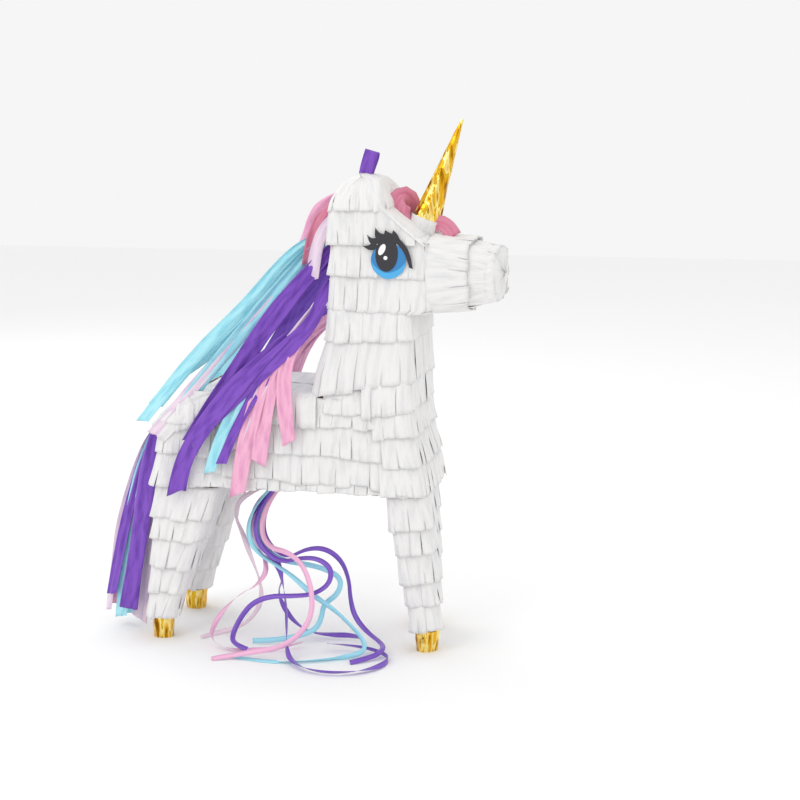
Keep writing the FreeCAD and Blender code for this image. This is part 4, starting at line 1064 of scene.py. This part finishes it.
for row in BELLY_ROWS:
    belly_row(*row, UNDER, "fringe_torso", "body")
belly_row("jaw_sheet", 119 * MM, 139 * MM, -SIDE_Y + 2 * MM, SIDE_Y - 2 * MM, 350, 319.4 * MM, "fringe_head", "body")
for name, rear, front, seed in (("flap_fringe_1", FLAP_LOW.x + 0.6 * MM, FLAP_LOW.x + 30 * MM, 331),
                                ("flap_fringe_2", FLAP_LOW.x + 26 * MM, FLAP_HIGH.x - 0.6 * MM, 332)):
    belly_row(name, rear, front, FLAP_LOW.y + 0.5 * MM, FLAP_HIGH.y - 0.5 * MM, seed, UNDER + 0.4 * MM,
              "fringe_release_flap", "flap")

door_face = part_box("fringe_fill_door")[1][1]
door_width = DOOR_HIGH.x - DOOR_LOW.x - MM
door_count = int(door_width / (COLUMN_MM * MM))
door_columns = [DOOR_LOW.x + 0.5 * MM + door_width * k / door_count for k in range(door_count + 1)]
DOOR_ROWS = [(DOOR_LOW.z + 0.8 * MM, 26 * MM), (DOOR_LOW.z + 19 * MM, 23.5 * MM)]   # lower edge and drop
for number, (low, drop) in enumerate(DOOR_ROWS, start=1):
    def door_spot(x, down):
        return (x, door_face, low + drop * (1 - down)), (0, 1, 0)

    piece = fringe(f"door_fringe_{number}", *grid(door_columns, ROW_STEPS, door_spot), False, 340 + number,
                   inset=3.0, flare=0.8, ragged=0.6)
    finish_sheet(piece, (door_width, drop), "fringe_fill_door", "door")


# %% [markdown]
# Mane and tail are loose streamers of coloured crepe, glued by one end in bunches. A streamer is a strip
# with a few soft pleats along it: narrow and deeply pleated where it is glued, wide and flatter at its
# cut end. Its line is a smooth curve through a few given points.

# %% Streamers
STREAMER_STEP = 3 * MM
PLEAT_COLUMNS = 12


def evenly(line, step):
    """The line's points again, evenly spaced."""
    distances = np.concatenate(([0], np.cumsum([(b - a).length for a, b in zip(line, line[1:])])))
    places = np.linspace(0, distances[-1], max(6, int(distances[-1] / step)))
    spots = np.array([tuple(point) for point in line])
    return [Vector(np.array([np.interp(place, distances, spots[:, axis]) for axis in range(3)]))
            for place in places]


def streamer(name, node, points, width, material, seed, face=(0, -1, 0), root=0.55, pleat=1.0, turn=0.0,
             slant=0.0):
    """A pleated strip of crepe along given points in millimetres, facing a direction."""
    chance = random.Random(seed)
    line = evenly(smooth_line([Vector(point) * MM for point in points]), STREAMER_STEP)
    directions = tangents(line)
    phase, waves = chance.uniform(0, 6), chance.uniform(1.1, 1.9)
    vertices, uvs = [], []
    last = len(line) - 1
    for index, (point, ahead) in enumerate(zip(line, directions)):
        along = index / last
        facing = Vector(face).normalized()
        facing = (facing - ahead * facing.dot(ahead)).normalized()
        sway = turn * along + 0.35 * noise.noise(Vector((along * 2.5, seed * 2.3, 0)))
        facing = Matrix.Rotation(sway, 3, ahead) @ facing
        across = ahead.cross(facing).normalized()
        wide = width * (root + (1 - root) * min(1.0, along * 3)) * (1 + 0.05 * math.sin(along * 9 + phase))
        for column in range(PLEAT_COLUMNS + 1):
            share = column / PLEAT_COLUMNS - 0.5
            depth = pleat * (1.3 - 0.8 * along) * math.sin(waves * 2 * math.pi * share + phase + 1.5 * along)
            depth += 0.7 * noise.noise(Vector((share * 3, along * 5, seed * 1.7)))
            spot = point + across * wide * MM * share + facing * depth * MM
            if index == last:
                spot += ahead * (slant * share * 2 + chance.uniform(-0.3, 0.3)) * MM
            vertices.append(spot)
            uvs.append((share * width, index * STREAMER_STEP / MM))
    piece = mesh_piece(name, vertices, strip_faces(len(line), PLEAT_COLUMNS), uvs, material)
    finish_sheet(piece, (width * MM, line_length(line)), node)


STREAMERS = [
    # name, node, width, material, points, turn, slant
    ("mane_blue_1", "mane_blue", 12, blue_crepe, [(42, -14, 392), (20, -18, 382), (-4, -24, 364), (-35, -34, 325),
     (-77, -42, 283), (-110, -50, 245), (-136, -56, 211)], 0.2, 4),
    ("mane_blue_2", "mane_blue", 13, blue_crepe, [(42, -16, 386), (24, -20, 376), (-2, -30, 344), (-30, -42, 308),
     (-62, -52, 270), (-92, -58, 232), (-108, -60, 206)], -0.1, -3),
    ("mane_blue_3", "mane_blue", 13, blue_crepe, [(42, -8, 384), (22, -8, 378), (-10, -10, 350), (-48, -16, 312),
     (-84, -26, 276), (-112, -36, 244), (-128, -42, 224)], 0.4, 3),
    ("mane_blue_4", "mane_blue", 12, blue_crepe, [(42, 0, 380), (20, 4, 370), (-16, 4, 334), (-54, -4, 296),
     (-86, -14, 268), (-106, -20, 254)], -0.3, 2),
    ("mane_pale_1", "mane_blue", 11, pale_crepe, [(42, -12, 378), (16, -22, 358), (-24, -38, 316), (-58, -50, 276),
     (-88, -58, 242), (-110, -61, 214), (-124, -62, 200)], 0.2, 3),
    ("mane_purple_1", "mane_purple", 18, purple_crepe, [(44, -30, 376), (32, -38, 362), (14, -48, 340), (-15, -58, 303),
     (-42, -64, 259), (-64, -66, 226), (-83, -67, 196)], 0.0, 5),
    ("mane_purple_2", "mane_purple", 16, purple_crepe, [(46, -44, 346), (38, -54, 330), (34, -59, 314), (18, -63, 294),
     (-12, -67, 268), (-46, -69, 236), (-84, -70, 198)], 0.15, -4),
    ("mane_purple_3", "mane_purple", 17, purple_crepe, [(8, -62, 296), (-14, -67, 276), (-46, -71, 242), (-70, -72, 212),
     (-86, -72, 188), (-95, -71, 166), (-99, -70, 147)], -0.15, 6),
    ("mane_purple_4", "mane_purple", 10, purple_crepe, [(44, -22, 366), (26, -30, 350), (-4, -44, 314), (-34, -54, 276),
     (-58, -60, 246), (-74, -62, 222)], 0.25, 3),
    ("mane_purple_5", "mane_purple", 11, purple_crepe, [(10, -60, 290), (-14, -65, 258), (-34, -68, 224),
     (-48, -69, 196), (-56, -69, 176)], 0.1, 3),
    ("mane_pink_1", "mane_pink", 14, pink_crepe, [(36, -50, 316), (24, -58, 302), (10, -63, 284), (5, -66, 258),
     (6, -67, 229), (10, -68, 198)], 0.1, 3),
    ("mane_pink_2", "mane_pink", 15, pink_crepe, [(30, -54, 304), (14, -60, 290), (-1, -64, 272), (-11, -67, 237),
     (-16, -68, 204), (-19, -69, 178)], -0.1, -3),
    ("mane_pink_3", "mane_pink", 15, pink_crepe, [(22, -56, 296), (4, -61, 282), (-14, -65, 260), (-26, -68, 218),
     (-35, -69, 180), (-40, -69, 147)], 0.1, 4),
    ("mane_pink_4", "mane_pink", 12, pale_crepe, [(34, -50, 326), (22, -56, 310), (2, -62, 280), (-20, -65, 244),
     (-34, -67, 214), (-44, -67, 190)], 0.2, 2),
    ("mane_blue_5", "mane_pink", 11, blue_crepe, [(18, -58, 300), (-4, -62, 280), (-32, -66, 248), (-52, -68, 208),
     (-62, -68, 184), (-67, -68, 167)], 0.0, 3),
    ("mane_tuft_1", "mane_tuft", 16, pink_crepe, [(44, -8, 421), (36, -9, 417), (26, -10, 406), (16, -12, 388),
     (9, -14, 370)], 0.4, 3),
    ("mane_tuft_2", "mane_tuft", 17, rose_crepe, [(44, -18, 413), (36, -19, 407), (28, -21, 392), (23, -23, 374),
     (21, -25, 360)], -0.2, 3),
    ("mane_tuft_3", "mane_tuft", 15, pink_crepe, [(44, 6, 418), (35, 8, 412), (25, 10, 398), (17, 11, 380)], 0.2, 2),
    ("mane_tuft_4", "mane_tuft", 12, pale_crepe, [(44, -30, 404), (37, -34, 396), (31, -38, 380), (28, -41, 362),
     (27, -42, 346)], 0.2, 2),
    ("tail_purple_1", "tail_purple", 18, purple_crepe, [(-112, -36, 212), (-126, -38, 208), (-136, -40, 170),
     (-145, -42, 111), (-154, -42, 61), (-161, -42, 22)], 0.1, 0),
    ("tail_purple_2", "tail_purple", 12, purple_crepe, [(-112, -30, 211), (-130, -32, 206), (-152, -34, 150),
     (-168, -36, 90), (-180, -36, 34)], 0.5, 2),
    ("tail_purple_3", "tail_purple", 14, purple_crepe, [(-112, -22, 210), (-128, -20, 206), (-144, -18, 160),
     (-152, -16, 100), (-158, -14, 44)], -0.3, 3),
    ("tail_blue_1", "tail_blue", 16, blue_crepe, [(-112, -32, 210), (-128, -32, 206), (-150, -34, 148),
     (-163, -36, 79), (-171, -36, 12)], 0.2, 3),
    ("tail_blue_2", "tail_blue", 15, blue_crepe, [(-112, -20, 210), (-130, -19, 205), (-152, -18, 128),
     (-164, -17, 60), (-171, -16, 9)], -0.2, 2),
    ("tail_pale_1", "tail_pink", 18, pale_crepe, [(-112, -26, 208), (-127, -26, 200), (-140, -27, 137),
     (-148, -28, 67), (-155, -29, 8)], 0.1, -3),
    ("tail_pale_2", "tail_pink", 10, pale_crepe, [(-112, -28, 211), (-134, -30, 206), (-164, -30, 130),
     (-178, -30, 70), (-186, -30, 16)], 0.5, 2),
    ("tail_pink_1", "tail_pink", 13, pink_crepe, [(-112, -24, 210), (-132, -24, 205), (-158, -25, 140),
     (-172, -26, 76), (-180, -27, 22)], 0.3, 2),
]
for seed, (name, node, width, material, points, turn, slant) in enumerate(STREAMERS, start=400):
    streamer(name, node, points, width, material, seed, turn=turn, slant=slant)

LEFT_SIDE = {"mane_purple_1": 0, "mane_purple_2": -8, "mane_pink_2": -12, "mane_pink_3": -16, "mane_blue_2": -6}
for seed, (name, node, width, material, points, turn, slant) in enumerate(STREAMERS, start=460):
    if name in LEFT_SIDE:
        mirrored = [(x + LEFT_SIDE[name] * i / len(points) * 2, -y, z + 3) for i, (x, y, z) in enumerate(points)]
        streamer(f"left_{name}", "mane_left", mirrored, width, material, seed, face=(0, 1, 0), turn=-turn, slant=slant)

# %% [markdown]
# The hanging loop is a band of purple crepe ribbon that comes out of the crown, goes up, folds over and
# goes back in. It leans forwards, and it is pinched where it leaves the slot.

# %% Hanging loop
loop_low, loop_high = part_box("hanging_loop")
loop_x = (loop_low[0] + loop_high[0]) / 2
loop_points = [(loop_x / MM - 3, -6, 423), (loop_x / MM - 2.5, -5, 436), (loop_x / MM + 0.5, -3.4, 448),
               (loop_x / MM + 4, -2.4, 458), (loop_x / MM + 5.5, 0, 464.5), (loop_x / MM + 4.4, 2.4, 458),
               (loop_x / MM + 1.0, 3.4, 448), (loop_x / MM - 2.5, 5, 436), (loop_x / MM - 3, 6, 423)]
loop_line = evenly(smooth_line([Vector(point) * MM for point in loop_points]), 2 * MM)
loop_vertices, loop_uvs = [], []
for index, point in enumerate(loop_line):
    along = index / (len(loop_line) - 1)
    wide = 9.0 + 4.5 * math.sin(along * math.pi) ** 1.5
    for column in range(7):
        share = column / 6 - 0.5
        fold = 0.5 * math.cos(share * 9) * (1.2 - math.sin(along * math.pi))
        lean = Vector((wide * share, fold, -0.28 * wide * share)) * MM
        loop_vertices.append(point + lean)
        loop_uvs.append((share * 12, index * 2.0))
loop = mesh_piece("hanging_ribbon", loop_vertices, strip_faces(len(loop_line), 6), loop_uvs, purple_crepe)
finish_sheet(loop, (12.5 * MM, line_length(loop_line)), "hanging_loop")

# %% [markdown]
# The horn is a foil cone with long folds, wider and pleated at its foot. It starts as a cone with few
# sides, gets rings by subdividing, and its points are then moved by a noise so that each face is a flat
# facet. The hooves are short foil cups made the same way.

# %% Horn and hooves
noise.seed_set(1)   # a vector noise is another one at each run unless it is seeded


def crumple(piece, amount, seed, scale):
    """Moves the points of a foil piece by a noise."""
    for vertex in piece.data.vertices:
        place = vertex.co / scale + Vector((seed * 5.1, seed * 2.3, seed * 0.7))
        vertex.co += noise.noise_vector(place) * amount


def swell(piece, spread):
    """Widens a cone by a factor that depends on the angle round it and the height."""
    for vertex in piece.data.vertices:
        factor = spread(math.atan2(vertex.co.y, vertex.co.x), vertex.co.z)
        vertex.co.x *= factor
        vertex.co.y *= factor

def foil_cone(name, low_radius, high_radius, height, sides, rings):
    """A closed cone with rings of points, standing on the origin."""
    bpy.ops.mesh.primitive_cone_add(vertices=sides, radius1=low_radius, radius2=high_radius, depth=height,
                                    location=(0, 0, height / 2))
    piece = bpy.context.active_object
    piece.name = name
    bpy.ops.object.transform_apply(location=True, rotation=True, scale=True)
    mesh = bmesh.new()
    mesh.from_mesh(piece.data)
    for ring in range(1, rings):
        bmesh.ops.bisect_plane(mesh, geom=mesh.verts[:] + mesh.edges[:] + mesh.faces[:],
                               plane_co=(0, 0, height * ring / rings), plane_no=(0, 0, 1))
    bmesh.ops.triangulate(mesh, faces=mesh.faces[:])
    mesh.to_mesh(piece.data)
    mesh.free()
    return piece


HORN_LEAN = math.radians(20)
HORN_LENGTH, HORN_RADIUS = 110 * MM, 14.4 * MM
horn = foil_cone("gold_horn", HORN_RADIUS, 1.1 * MM, HORN_LENGTH, 12, 7)
swell(horn, lambda angle, z: 1.03 + 0.10 * max(0.0, 0.16 - z / HORN_LENGTH) / 0.16
      + 0.04 * math.cos(3 * angle + 5 * z / HORN_LENGTH))
crumple(horn, 0.9 * MM, 3, 9 * MM)
horn_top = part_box("horn_foil")[1][2]
horn_foot = Vector((0.1205, 0.0, horn_top - (HORN_LENGTH - 2 * MM) * math.cos(HORN_LEAN) - 0.6 * MM))
horn.data.transform(Matrix.Translation(horn_foot) @ Matrix.Rotation(HORN_LEAN, 4, "Y"))
horn.data.materials.append(gold_foil)
finish_piece(horn, "horn_foil")

FOOT_RADIUS, HOOF_TOP_RADIUS, HOOF_HEIGHT = 9.6 * MM, 11.8 * MM, 22 * MM
for seed, hoof_name in enumerate(("front_hoof_right", "front_hoof_left", "hind_hoof_right", "hind_hoof_left")):
    hoof_low, hoof_high = (Vector(corner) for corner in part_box(hoof_name))
    middle = (hoof_low + hoof_high) / 2
    hoof = foil_cone(f"gold_{hoof_name}", FOOT_RADIUS, HOOF_TOP_RADIUS, HOOF_HEIGHT, 12, 4)
    swell(hoof, lambda angle, z: 1 + 0.05 * math.cos(4 * angle + seed) + 0.04 * math.cos(9 * angle + 2 * seed))
    crumple(hoof, 0.8 * MM, seed + 11, 6 * MM)
    for vertex in hoof.data.vertices:
        vertex.co.z = max(vertex.co.z, 0.0) if vertex.co.z > 1.5 * MM else 0.0
    hoof.data.transform(Matrix.Translation((middle.x, middle.y, 0)))
    hoof.data.materials.append(gold_foil)
    finish_piece(hoof, hoof_name)

# %% [markdown]
# A pleated collar of white crepe hides the foot of the horn, and a pink crepe ribbon is tied behind it:
# one standing loop, and one loose end that shows in front.

# %% Collar and forelock
axis = Vector((math.sin(HORN_LEAN), 0, math.cos(HORN_LEAN)))
ahead_of_horn = Vector((math.cos(HORN_LEAN), 0, -math.sin(HORN_LEAN)))
COLLAR_CENTRE, COLLAR_COLUMNS = Vector((0.1205, 0.0, 0.387)), 74


def collar_spot(angle, down):
    away = ahead_of_horn * math.cos(angle) + Vector((0, 1, 0)) * math.sin(angle)
    rise, radius = (16 - 33 * down) * MM, (15.7 + 1.2 * down) * MM
    return tuple(COLLAR_CENTRE + axis * rise + away * radius), tuple(away)


angles = [2 * math.pi * k / COLLAR_COLUMNS for k in range(COLLAR_COLUMNS + 1)]
collar = fringe("horn_collar_sheet", *grid(angles, ROW_STEPS, collar_spot), True, 501, inset=0.4, flare=1.0,
                slit_from=0.96, crease=0.7, ragged=0)
finish_sheet(collar, (98 * MM, 33 * MM), "horn_collar")

FORELOCK = [
    ("forelock_loop", 23, [(108, -11, 391), (102, -12, 400), (100, -12, 411), (103, -8, 420), (107, -2, 420),
                           (108, 3, 410), (107, 6, 394)], (0.2, -1, 0.1)),
    ("forelock_far_loop", 17, [(106, 4, 392), (98, 6, 400), (94, 9, 409), (97, 12, 416), (103, 13, 412),
                               (105, 12, 398)], (-0.4, -1, 0)),
    ("forelock_end", 15, [(130, -8, 392), (136, -9, 399), (143, -10, 398), (150, -11, 391), (153, -11, 386)],
     (0.2, -0.9, 0.5)),
]
for seed, (name, width, points, face) in enumerate(FORELOCK, start=520):
    streamer(name, "forelock_ribbon", points, width, rose_crepe, seed, face=face, root=0.7, pleat=0.5)

# %% [markdown]
# Each eye is a set of flat printed shapes: a blue iris with a brighter crescent, a black pupil, two white
# glints, curled lashes and the line of the lid. Ellipses are circles scaled at their place. Lashes are
# outlines listed as closed curves, filled and given the sticker's thickness.

# %% Eyes
EYE_FACE = 57.4 * MM
INK_STEP = 0.12 * MM


def flat_shape(name, outline, layer, side, material):
    """A closed outline of (x, z) points in millimetres as a thin shape; a point with a third item is sharp."""
    curve = bpy.data.curves.new(name, "CURVE")
    curve.dimensions = "2D"
    curve.fill_mode = "BOTH"
    curve.resolution_u = 8
    spline = curve.splines.new("BEZIER")
    spline.bezier_points.add(len(outline) - 1)
    for knot, (x, z, *tip) in zip(spline.bezier_points, outline):
        knot.co = (x * MM, z * MM, 0)
        knot.handle_left_type = knot.handle_right_type = "VECTOR" if tip else "AUTO"
    spline.use_cyclic_u = True
    curve.extrude = INK_STEP
    holder = bpy.data.objects.new(name, curve)
    bpy.context.collection.objects.link(holder)
    bpy.context.view_layer.objects.active = holder
    holder.select_set(True)
    bpy.ops.object.convert(target="MESH")
    shape = bpy.context.active_object
    stand = Matrix.Rotation(math.radians(90), 4, "X")
    shape.data.transform(Matrix.Translation((0, side * (EYE_FACE + layer * INK_STEP), 0)) @ stand)
    shape.data.materials.clear()
    shape.data.materials.append(material)
    bpy.ops.object.select_all(action="DESELECT")
    finish_piece(shape, "eye_right" if side < 0 else "eye_left")


def ellipse(x, z, half_x, half_z, count=16, lean=0.0):
    """Outline points of a leaning ellipse."""
    points = []
    for step in range(count):
        angle = 2 * math.pi * step / count
        a, b = half_x * math.cos(angle), half_z * math.sin(angle)
        points.append((x + a * math.cos(lean) - b * math.sin(lean), z + a * math.sin(lean) + b * math.cos(lean)))
    return points


EYE_SHAPES = [
    # name, outline, layer, material
    ("iris", ellipse(101.5, 367, 16.0, 16.0), 0, iris_ink),
    ("iris_light", [(86, 366, 1), (88.5, 358), (94, 352.5), (101, 350.5), (109, 352.5), (115, 358), (117.5, 366, 1),
                    (113, 361), (107, 357.5), (101, 356), (95, 357.5), (90, 361)], 2, bright_ink),
    ("pupil", ellipse(100, 372.5, 10.2, 15.5, lean=-0.06), 4, black_ink),
    ("lid", [(85, 376.5, 1), (88, 383), (94, 388.5), (101, 391), (108, 389), (115, 383.5), (120.5, 375),
             (124.2, 360, 1), (120.8, 361, 1), (117.5, 371), (112.5, 379), (106, 384), (98, 384.5), (90, 381)], 6, black_ink),
    ("lash_1", [(92, 378.5, 1), (86, 376), (77.5, 380, 1), (83, 380.3), (88.5, 384.5, 1)], 7, black_ink),
    ("lash_2", [(93, 383, 1), (86.5, 381.5), (82, 390, 1), (86.6, 387), (94, 388.5, 1)], 8, black_ink),
    ("lash_3", [(99, 386, 1), (91, 386.5), (89.6, 396.5, 1), (94.5, 391.5), (102, 391, 1)], 9, black_ink),
    ("lash_4", [(105, 388, 1), (98.5, 388), (98.8, 394.6, 1), (102, 392.5), (106, 391, 1)], 10, black_ink),
    ("lash_5", [(111, 386, 1), (105.5, 388.5), (106.2, 394.6, 1), (109.5, 391.5), (112, 387, 1)], 11, black_ink),
    ("glint", ellipse(95.8, 376.8, 2.7, 5.4, lean=-0.45), 7, white_ink),
    ("glint_small", ellipse(99.0, 369.4, 1.8, 1.8, 12), 7, white_ink),
]
for side, side_name in SIDES:
    for name, outline, layer, material in EYE_SHAPES:
        flat_shape(f"eye_{side_name}_{name}", outline, layer, side, material)

# %% [markdown]
# The setting is a plain pale floor under soft light from above and in front, with a bright surround so
# that the white paper keeps its soft shadows and nothing gets dark.

# %% Floor and light
bpy.ops.mesh.primitive_plane_add(size=8, location=(0, 0, 0))
floor = bpy.context.active_object
floor.name = "floor"
floor_paper, floor_shader = new_material("pale_floor_paper", {"Base Color": hex_colour("#FAFAFA"),
                                                              "Roughness": 0.9, "Specular IOR Level": 0.1})
floor.data.materials.append(floor_paper)

world = bpy.data.worlds.new("bright_surround")
bpy.context.scene.world = world
world.use_nodes = True
world.node_tree.nodes["Background"].inputs["Color"].default_value = hex_colour("#FFFFFF")
world.node_tree.nodes["Background"].inputs["Strength"].default_value = 0.92
LIGHTS = [
    # name, place, size, power
    ("key_softbox", (-0.9, -1.6, 1.7), 1.2, 8),
    ("fill_softbox", (1.6, -1.2, 0.9), 1.4, 2),
    ("top_softbox", (0.1, 0.4, 2.0), 1.5, 4),
    ("back_softbox", (-1.3, 1.1, 1.3), 1.2, 5),
]
for name, place, size, power in LIGHTS:
    lamp = bpy.data.lights.new(name, "AREA")
    lamp.size = size
    lamp.energy = power
    holder = bpy.data.objects.new(name, lamp)
    holder.location = place
    holder.rotation_euler = (Vector(place) - Vector((0.03, 0, 0.22))).to_track_quat("Z", "Y").to_euler()
    bpy.context.collection.objects.link(holder)
bpy.context.scene.view_settings.view_transform = "Standard"
